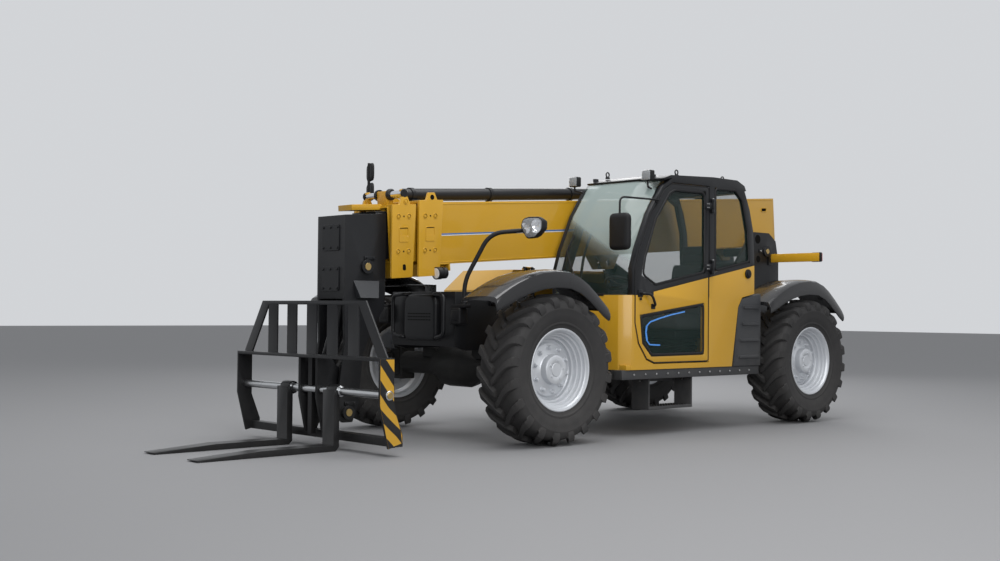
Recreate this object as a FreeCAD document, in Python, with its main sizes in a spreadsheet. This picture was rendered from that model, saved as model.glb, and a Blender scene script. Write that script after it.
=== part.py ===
import FreeCAD, Part, Sketcher
import math
import os

os.makedirs("parts", exist_ok=True)
V = FreeCAD.Vector
doc = FreeCAD.newDocument("Telehandler")
sheet = doc.addObject("Spreadsheet::Sheet", "Sizes")

# Driving dimensions, in millimetres and degrees.
# Places along the machine are measured forward from the front axle, sideways from the centre
# plane (left is positive) and up from the ground.
DRIVING_DIMENSIONS = [
    # name, value, meaning
    ("wheelbase", 3430, "front axle to rear axle"),
    ("track", 2006, "between the middles of the tyres on one axle"),
    ("tyre_diameter", 1175, "over the lugs"),
    ("tyre_width", 406, "over the shoulders"),
    ("lug_height", 38, "lug above the casing"),
    ("lugs_per_side", 16, "lugs on each half of the tread"),
    ("rim_diameter", 600, "bead seat"),
    ("rim_width", 330, "between the outsides of the flanges"),
    ("rim_flange", 26, "flange height above the bead seat"),
    ("rim_dish", 120, "depth of the bowl from the outer flange to the disc"),
    ("hub_radius", 118, "planetary hub"),
    ("hub_length", 70, "hub standing out of the disc"),
    ("spindle_radius", 45, "knuckle's spindle"),
    ("running_gap", 0.06, "radial gap of a shaft that turns"),
    ("gland_gap", 0.4, "radial gap of a cylinder's rod"),
    ("kingpin_inset", 180, "kingpin axis inside the middle of the tyre"),
    ("kingpin_radius", 24, ""),
    ("axle_tube_radius", 95, ""),
    ("diff_radius", 185, "differential housing"),
    ("rear_overhang", 820, "rearmost point behind the rear axle"),
    ("frame_half_width", 400, "outsides of the side plates"),
    ("frame_plate", 25, "side plate thickness"),
    ("frame_top", 1150, ""),
    ("frame_bottom", 720, ""),
    ("frame_nose", 420, "front of the frame"),
    ("pivot_overhang", 500, "boom pivot behind the rear axle"),
    ("pivot_height", 1680, "boom pivot above the ground"),
    ("pivot_radius", 45, "boom pivot pin"),
    ("tower_inner", 262, "boom tower plates, inner faces"),
    ("tower_plate", 38, "boom tower plate thickness"),
    ("boom_slope", 4.2, "boom nose down at rest"),
    ("boom_rise", 301, "boom centreline above its pivot"),
    ("outer_width", 440, "outer boom section"),
    ("outer_height", 500, ""),
    ("outer_nose", 630, "outer tube ahead of the front axle, along the boom"),
    ("outer_rear", 270, "tube behind the pivot"),
    ("boom_wall", 10, "wall of each boom tube"),
    ("section_step", 22, "gap between one tube and the next, each side"),
    ("pad_gap", 0.5, "wear pad to tube"),
    ("collar_half_width", 250, "outsides of the collar plates"),
    ("collar_plate", 24, ""),
    ("collar_lean", 4.2, "collar edges upright at rest"),
    ("middle_nose", 330, "middle section's collar ahead of the outer tube"),
    ("head_front", 1340, "front of the boom head"),
    ("head_rear", 950, ""),
    ("head_top", 1775, ""),
    ("head_floor", 1120, ""),
    ("head_half_width", 180, ""),
    ("head_plate", 28, ""),
    ("carriage_pivot_front", 1310, "carriage pivot ahead of the front axle"),
    ("carriage_pivot_height", 262, ""),
    ("carriage_pin_radius", 30, ""),
    ("carriage_half_width", 940, ""),
    ("carriage_rear", 1450, ""),
    ("carriage_front", 1580, ""),
    ("rail_height", 700, "middle rail"),
    ("backrest_height", 1105, "top rail"),
    ("backrest_half_width", 680, ""),
    ("fork_spacing", 305, "fork centre from the middle"),
    ("fork_width", 140, ""),
    ("fork_thickness", 50, ""),
    ("fork_face", 1565, "front of the fork shank"),
    ("fork_length", 1110, "blade ahead of the shank"),
    ("shaft_radius", 29, "fork shaft"),
    ("shaft_height", 437, ""),
    ("shaft_front", 1500, ""),
    ("cab_left", 1100, "outside of the cab's door"),
    ("cab_right", 290, "outside of the cab's boom side"),
    ("cab_wall", 45, ""),
    ("cab_floor", 600, ""),
    ("cab_belt", 1180, "top of the yellow front panel"),
    ("glass_thickness", 8, ""),
]

for row, (name, value, meaning) in enumerate(DRIVING_DIMENSIONS, start=1):
    sheet.set("A%d" % row, name)
    sheet.set("B%d" % row, "%s" % value)
    sheet.set("C%d" % row, meaning)
    sheet.setAlias("B%d" % row, name)
doc.recompute()


class Size:
    """A number that also knows the spreadsheet expression it comes from."""

    def __init__(self, number, text):
        self.number = float(number)
        self.text = text

    def __add__(self, other):
        other = size(other)
        return Size(self.number + other.number, "(%s + %s)" % (self.text, other.text))

    def __sub__(self, other):
        other = size(other)
        return Size(self.number - other.number, "(%s - %s)" % (self.text, other.text))

    def __mul__(self, other):
        other = size(other)
        return Size(self.number * other.number, "(%s * %s)" % (self.text, other.text))

    def __truediv__(self, other):
        other = size(other)
        return Size(self.number / other.number, "(%s / %s)" % (self.text, other.text))

    def __radd__(self, other):
        return size(other) + self

    def __rsub__(self, other):
        return size(other) - self

    def __rmul__(self, other):
        return size(other) * self

    def __neg__(self):
        return Size(-self.number, "(0 - %s)" % self.text)


def size(value):
    if isinstance(value, Size):
        return value
    return Size(value, "(%s)" % repr(float(value)))


def cosine(angle):
    return Size(math.cos(math.radians(angle.number)), "cos(%s)" % angle.text)


def sine(angle):
    return Size(math.sin(math.radians(angle.number)), "sin(%s)" % angle.text)


def tangent(angle):
    return Size(math.tan(math.radians(angle.number)), "tan(%s)" % angle.text)


def distance(across, up):
    """The length of a line from its two legs."""
    number = math.hypot(across.number, up.number)
    squares = "(%s * %s + %s * %s)" % (across.text, across.text, up.text, up.text)
    return Size(number, "sqrt(%s)" % squares)


def slope_down(across, up):
    """How far a line points down, in degrees, from its two legs."""
    number = -math.degrees(math.atan2(up.number, across.number))
    return Size(number, "(atan2(%s; %s) * (-1))" % (up.text, across.text))


class Sheet:
    """Every driving dimension by its name."""


dim = Sheet()
for name, value, meaning in DRIVING_DIMENSIONS:
    setattr(dim, name, Size(value, "Sizes." + name))


def bind(thing, prop, value):
    thing.setExpression(prop, size(value).text)


def place(thing, x=0, y=0, z=0, turn_y=None):
    """Put a feature at x, y, z, turned nose-down about the sideways axis."""
    if turn_y is not None:
        thing.Placement = FreeCAD.Placement(V(0, 0, 0), FreeCAD.Rotation(V(0, 1, 0), 1.0))
        bind(thing, "Placement.Rotation.Angle", turn_y)
    for axis, value in zip("xyz", (x, y, z)):
        bind(thing, "Placement.Base." + axis, value)
    return thing


def box(name, x, y, z):
    """A block between two places on each axis."""
    block = doc.addObject("Part::Box", name)
    for prop, (low, high) in zip(("Length", "Width", "Height"), (x, y, z)):
        bind(block, prop, size(high) - low)
    return place(block, x[0], y[0], z[0])


AXIS_TURNS = {"x": ((0, 1, 0), 90), "y": ((1, 0, 0), -90), "z": ((0, 0, 1), 0)}


def rod(name, axis, radius, start, length, inner=None):
    """A round bar, or a tube where inner is given, from start along an axis."""
    bar = doc.addObject("Part::Cylinder", name)
    bind(bar, "Radius", radius)
    bind(bar, "Height", length)
    direction, angle = AXIS_TURNS[axis]
    bar.Placement = FreeCAD.Placement(V(0, 0, 0), FreeCAD.Rotation(V(*direction), angle))
    place(bar, *start)
    if inner is None:
        return bar
    bore = rod(name + "_bore", axis, inner, start, length)
    return cut(name + "_tube", bar, bore)


def boss(name, axis, radius, start, length, sides=12):
    """A flat-sided round boss, from start along an axis."""
    block = doc.addObject("Part::Prism", name)
    block.Polygon = sides
    bind(block, "Circumradius", radius)
    bind(block, "Height", length)
    direction, angle = AXIS_TURNS[axis]
    block.Placement = FreeCAD.Placement(V(0, 0, 0), FreeCAD.Rotation(V(*direction), angle))
    return place(block, *start)


def flat_bore(name, axis, radius, start, length, sides=12):
    """The room for a flat-sided bore that clears a round pin of this radius."""
    return boss(name, axis, size(radius) / math.cos(math.pi / sides), start, length, sides)


def ring_of(along, up, radius, sides=12):
    """Corners of a flat-sided bore round a place."""
    turns = [2 * math.pi * k / sides for k in range(sides)]
    return [(size(along) + size(radius) * math.cos(a), size(up) + size(radius) * math.sin(a))
            for a in turns]


def fuse(name, pieces):
    joined = doc.addObject("Part::MultiFuse", name)
    joined.Shapes = pieces
    return joined


def cut(name, base, tool):
    result = doc.addObject("Part::Cut", name)
    result.Base = base
    result.Tool = tool
    return result


def group(name, pieces):
    gathered = doc.addObject("Part::Compound", name)
    gathered.Links = pieces
    return gathered


def mirrored(name, piece):
    """The same piece on the other side of the machine's centre plane."""
    other = doc.addObject("Part::Mirroring", name)
    other.Source = piece
    other.Normal = V(0, 1, 0)
    return other


def both_sides(name, piece):
    return group(name, [piece, mirrored(name + "_right", piece)])


PLANES = {"side": "XZ_Plane", "plan": "XY_Plane", "front": "YZ_Plane"}


def drawn(body, name, plane, outline, holes=(), windows=()):
    """Closed outlines of straight lines, with round holes, every point tied to the sheet."""
    sketch = body.newObject("Sketcher::SketchObject", name)
    support = [f for f in body.Origin.OriginFeatures if f.Role == PLANES[plane]][0]
    sketch.AttachmentSupport = [(support, "")]
    sketch.MapMode = "FlatFace"
    marks = []
    for loop in [outline] + list(windows):
        points = [(size(a), size(b)) for a, b in loop]
        first = len(marks)
        for here, there in zip(points, points[1:] + points[:1]):
            ends = [V(p[0].number, p[1].number, 0) for p in (here, there)]
            sketch.addGeometry(Part.LineSegment(*ends))
        for i in range(len(points)):
            after = first + (i + 1) % len(points)
            sketch.addConstraint(Sketcher.Constraint("Coincident", first + i, 2, after, 1))
        marks += [(first + i, 1, p) for i, p in enumerate(points)]
    for a, b, radius in holes:
        centre = (size(a), size(b))
        circle = sketch.addGeometry(
            Part.Circle(V(centre[0].number, centre[1].number, 0), V(0, 0, 1), size(radius).number))
        limit = sketch.addConstraint(Sketcher.Constraint("Radius", circle, size(radius).number))
        sketch.setExpression("Constraints[%d]" % limit, size(radius).text)
        marks.append((circle, 3, centre))
    for geometry, end, point in marks:
        for kind, value in zip(("DistanceX", "DistanceY"), point):
            limit = sketch.addConstraint(
                Sketcher.Constraint(kind, -1, 1, geometry, end, value.number))
            sketch.setExpression("Constraints[%d]" % limit, value.text)
    return sketch


def plate(name, plane, outline, low, high, holes=(), windows=()):
    """A plate cut to an outline, between two places across its plane."""
    body = doc.addObject("PartDesign::Body", name)
    pad = body.newObject("PartDesign::Pad", name + "_pad")
    pad.Profile = drawn(body, name + "_outline", plane, outline, holes, windows)
    pad.SideType = "Symmetric"
    bind(pad, "Length", size(high) - low)
    middle = (size(high) + low) / 2
    across = {"side": "y", "plan": "z", "front": "x"}[plane]
    return place(body, **{across: middle})


def plates(name, outline, inner, outer, holes=(), windows=()):
    """A left and a right side plate, inner and outer from the centre plane."""
    left = plate(name, "side", outline, inner, outer, holes, windows)
    return [left, mirrored(name + "_right", left)]


def flat_faces(corners):
    """One face over four corners, or two where they aren't in one plane."""
    a, b, c, d = corners
    across = (b - a).cross(c - a)
    if abs(across.normalize().dot(d - a)) < 1e-5:
        return [Part.Face(Part.makePolygon(corners + corners[:1]))]
    return [Part.Face(Part.makePolygon([a, b, c, a])), Part.Face(Part.makePolygon([a, c, d, a]))]


def skinned(rings, closed):
    """A solid of flats between rings of corners, closed round or capped at both ends."""
    count = len(rings[0])
    bands = zip(rings, rings[1:] + rings[:1]) if closed else zip(rings, rings[1:])
    faces = []
    for ring, after in bands:
        for k in range(count):
            other = (k + 1) % count
            faces += flat_faces([ring[k], ring[other], after[other], after[k]])
    if not closed:
        faces += [Part.Face(Part.makePolygon(ring + ring[:1])) for ring in (rings[0], rings[-1])]
    solid = Part.Solid(Part.Shell(faces))
    if solid.Volume < 0:
        solid.reverse()
    return solid


def round_ring(radius, across, turns):
    """Corners at these turns round the Y axis; radius is one number or one for each corner."""
    radii = radius if isinstance(radius, list) else [radius] * len(turns)
    return [V(r * math.cos(a), across, r * math.sin(a)) for r, a in zip(radii, turns)]


def wheel_form(table, flats, closed, phase=0.0):
    """Rings of flats round the Y axis, from (radius, place along the axis) rows."""
    turns = [phase + 2 * math.pi * k / flats for k in range(flats)]
    rings = [round_ring(size(radius).number, size(along).number, turns)
             for radius, along in table]
    return skinned(rings, closed)


def profiles(name, outline, sections):
    """A side outline carried across the machine, moved along it at each (across, along) section."""
    rings = []
    for across, along in sections:
        y = size(across).number
        shift = size(along).number
        rings.append([V(size(a).number + shift, y, size(b).number) for a, b in outline])
    return shaped(name, skinned(rings, False))


def shaped(name, shape):
    """A shape made from the sizes in code, where no primitive fits."""
    feature = doc.addObject("Part::Feature", name)
    feature.Shape = shape
    return feature


def pipe(name, points, radius, bend, sides=6):
    """A bent pipe through the points, each corner turned in two chords, with flat sides."""
    stops = [V(*[size(c).number for c in p]) for p in points]
    path = [stops[0]]
    for before, corner, after in zip(stops, stops[1:], stops[2:]):
        into = (corner - before).normalize()
        out = (after - corner).normalize()
        turn = into.getAngle(out)
        back = bend * math.tan(turn / 2)
        inward = (out - into).normalize()
        centre = corner + inward * (bend / math.cos(turn / 2))
        axis = into.cross(out)
        arm = corner - into * back - centre
        for step in range(3):
            spin = FreeCAD.Rotation(axis, math.degrees(turn) * step / 2)
            path.append(centre + spin.multVec(arm))
    path.append(stops[-1])
    first = (path[1] - path[0]).normalize()
    across = first.cross(V(0.31, 0.52, 0.79)).normalize()
    upright = first.cross(across)
    r = size(radius).number
    angles = [2 * math.pi * (k + 0.5) / sides for k in range(sides)]
    ring = [path[0] + across * (r * math.cos(a)) + upright * (r * math.sin(a)) for a in angles]
    rings = [ring]
    for k in range(1, len(path)):
        direction = (path[k] - path[k - 1]).normalize()
        onward = (path[k + 1] - path[k]).normalize() if k + 1 < len(path) else direction
        normal = (direction + onward).normalize()
        reach = direction.dot(normal)
        ring = [c + direction * ((path[k] - c).dot(normal) / reach) for c in ring]
        rings.append(ring)
    return shaped(name, skinned(rings, False))


NODES = []

fork_tip = dim.fork_face + dim.fork_length
rear_reach = dim.wheelbase + dim.rear_overhang
pivot_back = dim.wheelbase + dim.pivot_overhang
outer_front = pivot_back + dim.outer_nose
middle_front = outer_front + dim.middle_nose
front_axle_x = (rear_reach - fork_tip) / 2
rear_axle = -dim.wheelbase
half_track = dim.track / 2
wheel_height = dim.tyre_diameter / 2
kingpin = half_track - dim.kingpin_inset


def node(label, thing, x=0, y=0, z=0, turn_y=None):
    """Name a finished piece and put it in the machine's frame, middle of its box at zero."""
    thing.Label = label
    place(thing, front_axle_x + x, y, z, turn_y)
    NODES.append(thing)
    return thing


# Tyres: the rings of each half rise over its slanting lugs and fall into its grooves, and the
# right half is turned by half a lug against the left.
tyre_radius = dim.tyre_diameter / 2
casing_radius = tyre_radius - dim.lug_height
bead_radius = dim.rim_diameter / 2
half_tyre = dim.tyre_width / 2
half_rim = dim.rim_width / 2
bead_place = half_rim - 18
flats = int(dim.lugs_per_side.number)
pitch = 2 * math.pi / flats
bead_phase = pitch / 4
bead_turns = [bead_phase + pitch * k for k in range(flats)]
PLAIN = (-0.125, 0.125, 0.375, 0.625)
TREAD = [
    # lug top below the tread, groove below the tread, place across, lean in lugs, corners in lugs
    (dim.lug_height, dim.lug_height, 0, -0.36, PLAIN),
    (0, dim.lug_height, 12, -0.34, (-0.17, 0.17, 0.27, 0.73)),
    (12, dim.lug_height + 14, half_tyre - 28, 0.27, (-0.18, 0.18, 0.30, 0.70)),
    (112, 112, half_tyre, 0.33, PLAIN),
]


def tyre_half(side, stagger):
    """The rings of one half, from the middle of the tread down to its sidewall."""
    rings = []
    for top, groove, across, lean, corners in TREAD:
        high = (tyre_radius - top).number
        low = (tyre_radius - groove).number
        turns = [pitch * (k + stagger + lean + c) for k in range(flats) for c in corners]
        rings.append(round_ring([high, high, low, low] * flats, side * size(across).number, turns))
    return rings


def tyre_shape():
    bead = {side: round_ring(bead_radius.number, side * bead_place.number, bead_turns)
            for side in (1, -1)}
    faces = []
    for side, stagger in ((1, 0.0), (-1, 0.5)):
        rings = tyre_half(side, stagger)
        count = len(rings[0])
        if side < 0:
            middle = rings[0]
            rings[0] = left_middle[2:] + left_middle[:2]
        else:
            left_middle = rings[0]
        for ring, after in zip(rings, rings[1:]):
            for k in range(count):
                other = (k + 1) % count
                faces += flat_faces([ring[k], ring[other], after[other], after[k]])
        wall = rings[-1]
        for k in range(flats):
            inner = bead[side][k]
            onward = bead[side][(k + 1) % flats]
            group_of = [wall[(4 * k + j) % count] for j in range(5)]
            for corners in ([inner, group_of[0], group_of[1]], [inner, group_of[1], group_of[2]],
                            [inner, group_of[2], onward], [onward, group_of[2], group_of[3]],
                            [onward, group_of[3], group_of[4]]):
                faces.append(Part.Face(Part.makePolygon(corners + corners[:1])))
    for k in range(flats):
        other = (k + 1) % flats
        faces += flat_faces([bead[1][k], bead[1][other], bead[-1][other], bead[-1][k]])
    solid = Part.Solid(Part.Shell(faces))
    if solid.Volume < 0:
        solid.reverse()
    return solid


# Rims: a one-piece wheel with a deep bowl and the hub in its middle, flat-sided like the tyre.
disc_place = half_rim - dim.rim_dish
RIM = [
    # radius, place across the wheel, from the back of the hub outwards and round to its front
    (dim.hub_radius, disc_place - 60),
    (bead_radius + dim.rim_flange, -half_rim),
    (bead_radius, -bead_place),
    (bead_radius, bead_place),
    (bead_radius + dim.rim_flange, half_rim),
    (bead_radius - 16, half_rim),
    (bead_radius - 46, disc_place),
    (dim.hub_radius, disc_place),
    (dim.hub_radius - 14, disc_place + dim.hub_length),
]


def rim(name):
    return cut(name, shaped(name + "_form", wheel_form(RIM, flats, False, bead_phase)),
               flat_bore(name + "_bore", "y", dim.spindle_radius + dim.running_gap,
                         (0, disc_place - 70, 0), dim.hub_length + 58))


WHEELS = [
    # name, place along the machine, side
    ("front_left", 0, 1),
    ("front_right", 0, -1),
    ("rear_left", rear_axle, 1),
    ("rear_right", rear_axle, -1),
]

# Axle and knuckles: yokes at the ends of the axle hold the kingpins, and the knuckles turn on them.
yoke_half_height = 150
yoke_arm = 34
seat_height = 73
AXLE = [
    # radius, place across, from the end of the tube to the middle housing
    (dim.axle_tube_radius, kingpin - 110),
    (dim.axle_tube_radius, 300),
    (dim.diff_radius, 140),
]
YOKE_ARM = [
    # along, sideways from the kingpin
    (-50, -90), (50, -90), (50, 18), (26, 48), (-26, 48), (-50, 18)]


def axle(name):
    sections = AXLE + [(radius, -across) for radius, across in reversed(AXLE)]
    tube = shaped(name + "_housing", wheel_form(sections, 12, False))
    cheek = box(name + "_cheek", (-70, 70), (kingpin - 120, kingpin - 85),
                (-yoke_half_height, yoke_half_height))
    outline = [(a, kingpin + b) for a, b in YOKE_ARM]
    arms = [plate(name + "_" + part, "plan", outline, low, low + yoke_arm)
            for part, low in (("upper", yoke_half_height - yoke_arm),
                              ("lower", -yoke_half_height))]
    pin_half = yoke_half_height - yoke_arm / 2
    pin = rod(name + "_kingpin", "z", dim.kingpin_radius, (0, kingpin, -pin_half), 2 * pin_half)
    yoke = fuse(name + "_yoke", [cheek, pin] + arms)
    seat_top = dim.frame_bottom - wheel_height
    seats = [box(name + "_seat_" + side, (-90, 90), spread, (seat_top - seat_height, seat_top))
             for side, spread in (("left", (230, dim.frame_half_width)),
                                  ("right", (-dim.frame_half_width, -230)))]
    return fuse(name + "_body", [tube, yoke, mirrored(name + "_yoke_right", yoke)] + seats)


def knuckle(name):
    """Bored swivel block, neck and spindle, for a left wheel, at the kingpin axis."""
    block_half = yoke_half_height - yoke_arm - 3
    swivel = box(name + "_swivel", (-52, 52), (-52, 60), (-block_half, block_half))
    neck_end = dim.kingpin_inset + disc_place - 70
    neck = box(name + "_neck", (-70, 70), (20, neck_end), (-70, 70))
    spindle = rod(name + "_spindle", "y", dim.spindle_radius, (0, 20, 0),
                  dim.kingpin_inset + disc_place + dim.hub_length - 36)
    arm = box(name + "_steering_arm", (-150, 0), (-20, 20), (-block_half, -block_half + 28))
    bore = flat_bore(name + "_bore", "z", dim.kingpin_radius + dim.running_gap,
                     (0, 0, -yoke_half_height), 2 * yoke_half_height)
    return cut(name + "_body", fuse(name + "_whole", [swivel, neck, spindle, arm]), bore)


for name, along, side in WHEELS:
    middle = side * half_track
    tyre = shaped("tyre_body_" + name, tyre_shape())
    node("tyre_" + name, tyre, along, middle, wheel_height)
    wheel = rim("rim_body_" + name)
    piece = wheel if side > 0 else mirrored("rim_turned_" + name, wheel)
    node("rim_" + name, piece, along, middle, wheel_height)
    swivel = knuckle("knuckle_" + name)
    piece = swivel if side > 0 else mirrored("knuckle_turned_" + name, swivel)
    node("knuckle_" + name, piece, along, side * kingpin, wheel_height)

node("front_axle", axle("front_axle_beam"), 0, 0, wheel_height)
node("rear_axle", axle("rear_axle_beam"), rear_axle, 0, wheel_height)

# Chassis frame: two long side plates tied by cross plates.
frame_outer = dim.frame_half_width
frame_inner = frame_outer - dim.frame_plate
frame_rear = -(rear_reach - 120)
FRAME_SIDE = [
    (dim.frame_nose, dim.frame_bottom + 30), (dim.frame_nose, dim.frame_top + 40),
    (250, dim.frame_top + 40), (150, dim.frame_top), (rear_axle + 530, dim.frame_top),
    (rear_axle + 430, dim.frame_top + 60), (frame_rear, dim.frame_top + 60),
    (frame_rear, dim.frame_bottom), (rear_axle + 360, dim.frame_bottom),
    (rear_axle + 520, 520), (-520, 520),
    (-360, dim.frame_bottom), (300, dim.frame_bottom),
]
frame_sides = plates("frame_side", FRAME_SIDE, frame_inner, frame_outer)
frame_ties = [
    box("frame_front_plate", (dim.frame_nose - 25, dim.frame_nose),
        (-frame_outer, frame_outer), (dim.frame_bottom + 30, dim.frame_top + 40)),
    box("frame_middle_plate", (-700, -680), (-frame_outer, frame_outer), (520, 900)),
    box("frame_floor", (rear_axle + 530, -560), (-frame_outer, frame_outer), (520, 540)),
    box("frame_rear_plate", (frame_rear, frame_rear + 25), (-frame_outer, frame_outer),
        (dim.frame_bottom, dim.frame_top + 60)),
]

# Boom tower: two plates that hold the boom's pivot pin and the foot of the lift cylinder.
tower_outer = dim.tower_inner + dim.tower_plate
pivot = (-pivot_back, dim.pivot_height)
lift_foot = (rear_axle + 210, size(800))
lift_pin_radius = size(35)
TOWER_SIDE = [
    (frame_rear + 25, 720), (frame_rear + 25, dim.frame_top + 64), (pivot[0] - 220, 1240),
    (pivot[0] - 220, 1580), (pivot[0] - 170, 1790), (pivot[0] - 50, 1870), (pivot[0] + 210, 1870),
    (pivot[0] + 370, 1700), (rear_axle + 270, 1240), (rear_axle + 380, 900),
    (rear_axle + 380, 640), (rear_axle + 200, 640), (rear_axle + 130, 740), (rear_axle - 170, 740),
]
tower_sides = plates("tower_side", TOWER_SIDE, dim.tower_inner, tower_outer)
tower_ties = [
    box("tower_rear_tie", (frame_rear + 25, frame_rear + 50), (-frame_inner, frame_inner),
        (760, 1380)),
    box("tower_floor_tie", (frame_rear + 30, rear_axle - 210), (-frame_inner, frame_inner),
        (760, 785)),
    box("tower_front_tie", (rear_axle + 355, rear_axle + 380), (-frame_inner, frame_inner),
        (640, 720)),
]
tower_pins = []
for name, (along, up), radius in (("boom_pivot", pivot, dim.pivot_radius),
                                  ("lift_foot", lift_foot, lift_pin_radius)):
    tower_pins.append(rod(name + "_pin", "y", radius, (along, -dim.tower_inner, up),
                          2 * dim.tower_inner))
    for side, start in (("left", tower_outer), ("right", -tower_outer - 12)):
        tower_pins.append(boss("%s_cap_%s" % (name, side), "y", radius + 14, (along, start, up), 12))
rear_arm = fuse("rear_lamp_arm", [
    box("rear_lamp_flange", (pivot[0] - 100, pivot[0] - 30), (tower_outer - 2, tower_outer + 12),
        (1540, 1660)),
    box("rear_lamp_bar", (pivot[0] - 82, pivot[0] - 70), (tower_outer, 880), (1570, 1650))])
node("boom_tower", fuse("boom_tower_body", tower_sides + tower_ties + tower_pins + [
    rear_arm, mirrored("rear_lamp_arm_right", rear_arm)]))


# Boom: three tubes in the boom's own frame, from the pivot pin forward.
def tube(name, rear, front, width, height):
    wall = dim.boom_wall
    shell = box(name + "_outside", (rear, front), (-width / 2, width / 2),
                (dim.boom_rise - height / 2, dim.boom_rise + height / 2))
    hollow = box(name + "_inside", (rear - 10, front + 10), (-width / 2 + wall, width / 2 - wall),
                 (dim.boom_rise - height / 2 + wall, dim.boom_rise + height / 2 - wall))
    return cut(name + "_tube", shell, hollow)


step = 2 * (dim.boom_wall + dim.section_step)
middle_width = dim.outer_width - step
middle_height = dim.outer_height - step
inner_width = middle_width - step
inner_height = middle_height - step
lean = tangent(dim.collar_lean)


def collar(name, front, length, depth_below, half_height):
    """A pair of cheek plates with an ear on top, tied above and below the tube."""
    low = dim.boom_rise - half_height - depth_below
    high = dim.boom_rise + half_height + 15
    tall = high - low
    cheek = plates(name + "_cheek", [
        (front, low), (front - lean * tall, high), (front - lean * tall - length * 0.3, high),
        (front - lean * tall - length * 0.4, high + 60),
        (front - lean * tall - length * 0.65, high + 60),
        (front - lean * tall - length * 0.75, high), (front - lean * tall - length, high),
        (front - length + 30, low)], dim.collar_half_width - dim.collar_plate, dim.collar_half_width)
    return cheek, low, high


outer_cheeks, outer_low, outer_high = collar("outer_collar", outer_front + 60, 250, 90,
                                             dim.outer_height / 2)
outer_ties = [
    box("outer_collar_top", (outer_front - 160, outer_front),
        (-dim.collar_half_width + 5, dim.collar_half_width - 5),
        (dim.boom_rise + dim.outer_height / 2 - 5, outer_high)),
    box("outer_collar_bottom", (outer_front - 160, outer_front + 40),
        (-dim.collar_half_width + 5, dim.collar_half_width - 5),
        (outer_low, dim.boom_rise - dim.outer_height / 2 + 5)),
]
for side, (low, high) in (("left", (dim.outer_width / 2 - 5, dim.collar_half_width - 5)),
                          ("right", (-dim.collar_half_width + 5, -dim.outer_width / 2 + 5))):
    outer_ties.append(box("outer_collar_%s" % side, (outer_front - 160, outer_front),
                          (low, high), (outer_low, outer_high)))
PADS = [
    # name, sideways or upright, side
    ("top", "z", 1), ("bottom", "z", -1), ("left", "y", 1), ("right", "y", -1),
]


def wear_pads(name, rear, front, width, height, reach, outward):
    """Four pads between a tube of this size and its neighbour, reach thick."""
    pads = []
    for part, axis, side in PADS:
        half = (height if axis == "z" else width) / 2
        near = half - 2 if outward else half - reach
        far = half + reach if outward else half + 2
        spread = (width if axis == "z" else height) / 2 - 60
        span = (side * near, side * far) if side > 0 else (side * far, side * near)
        rise = dim.boom_rise
        if axis == "z":
            pads.append(box(name + "_" + part, (rear, front), (-spread, spread),
                            (rise + span[0], rise + span[1])))
        else:
            pads.append(box(name + "_" + part, (rear, front), span, (rise - spread, rise + spread)))
    return pads


pad_reach = dim.section_step - dim.pad_gap
boom_foot = plates("boom_foot", [
    (-90, -20), (-60, -80), (60, -80), (110, -20), (300, 60), (300, 120), (-200, 120), (-200, 60)],
    dim.outer_width / 2 - 8, dim.outer_width / 2 + 20,
    [(0, 0, dim.pivot_radius + dim.running_gap)])
lift_eye = (2187 * cosine(size(0.52)), 2187 * sine(size(-0.52)))
lift_lugs = plates("lift_lug", [
    (lift_eye[0] - 60, lift_eye[1] - 62), (lift_eye[0] + 60, lift_eye[1] - 62),
    (lift_eye[0] + 150, 55), (lift_eye[0] - 150, 55)], 52, 82,
    windows=[ring_of(lift_eye[0], lift_eye[1], 36)])
outer_tube = tube("outer", -dim.outer_rear, outer_front, dim.outer_width, dim.outer_height)
outer_pads = wear_pads("outer_pad", outer_front - 150, outer_front - 10,
                       dim.outer_width - 2 * dim.boom_wall, dim.outer_height - 2 * dim.boom_wall,
                       pad_reach, False)
rear_cap = box("outer_rear_cap", (-dim.outer_rear - 12, -dim.outer_rear),
               (-dim.outer_width / 2, dim.outer_width / 2),
               (dim.boom_rise - dim.outer_height / 2, dim.boom_rise + dim.outer_height / 2))
boom_frame = dict(x=pivot[0], z=pivot[1], turn_y=dim.boom_slope)
node("boom_outer", fuse("boom_outer_body", [outer_tube, rear_cap] + outer_pads + outer_ties
                        + outer_cheeks + boom_foot + lift_lugs), **boom_frame)

# Middle section with its own collar and the telescope cylinder's rod.
middle_rear = 60
middle_tube = tube("middle", middle_rear, middle_front - 40, middle_width, middle_height)
middle_cheeks, middle_low, middle_high = collar("middle_collar", middle_front, 240,
                                                dim.outer_height / 2 + 90 - middle_height / 2,
                                                middle_height / 2)
middle_ties = []
for part, axis_y, axis_z in (
        ("top", (-dim.collar_half_width + 5, dim.collar_half_width - 5),
         (dim.boom_rise + middle_height / 2 - 5, middle_high)),
        ("bottom", (-dim.collar_half_width + 5, dim.collar_half_width - 5),
         (middle_low, dim.boom_rise - middle_height / 2 + 5)),
        ("left", (middle_width / 2 - 5, dim.collar_half_width - 5), (middle_low, middle_high)),
        ("right", (-dim.collar_half_width + 5, -middle_width / 2 + 5), (middle_low, middle_high))):
    middle_ties.append(box("middle_collar_" + part, (middle_front - 190, middle_front - 50),
                           axis_y, axis_z))
middle_pads = wear_pads("middle_pad", middle_front - 180, middle_front - 60,
                        middle_width - 2 * dim.boom_wall, middle_height - 2 * dim.boom_wall,
                        pad_reach, False)
middle_rear_pads = wear_pads("middle_rear_pad", middle_rear + 20, middle_rear + 160,
                             middle_width, middle_height, pad_reach, True)
chain_guard = box("chain_guard", (middle_front - 60, middle_front + 230), (-90, 90),
                  (dim.boom_rise + inner_height / 2 + 14, middle_high + 12))
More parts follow.
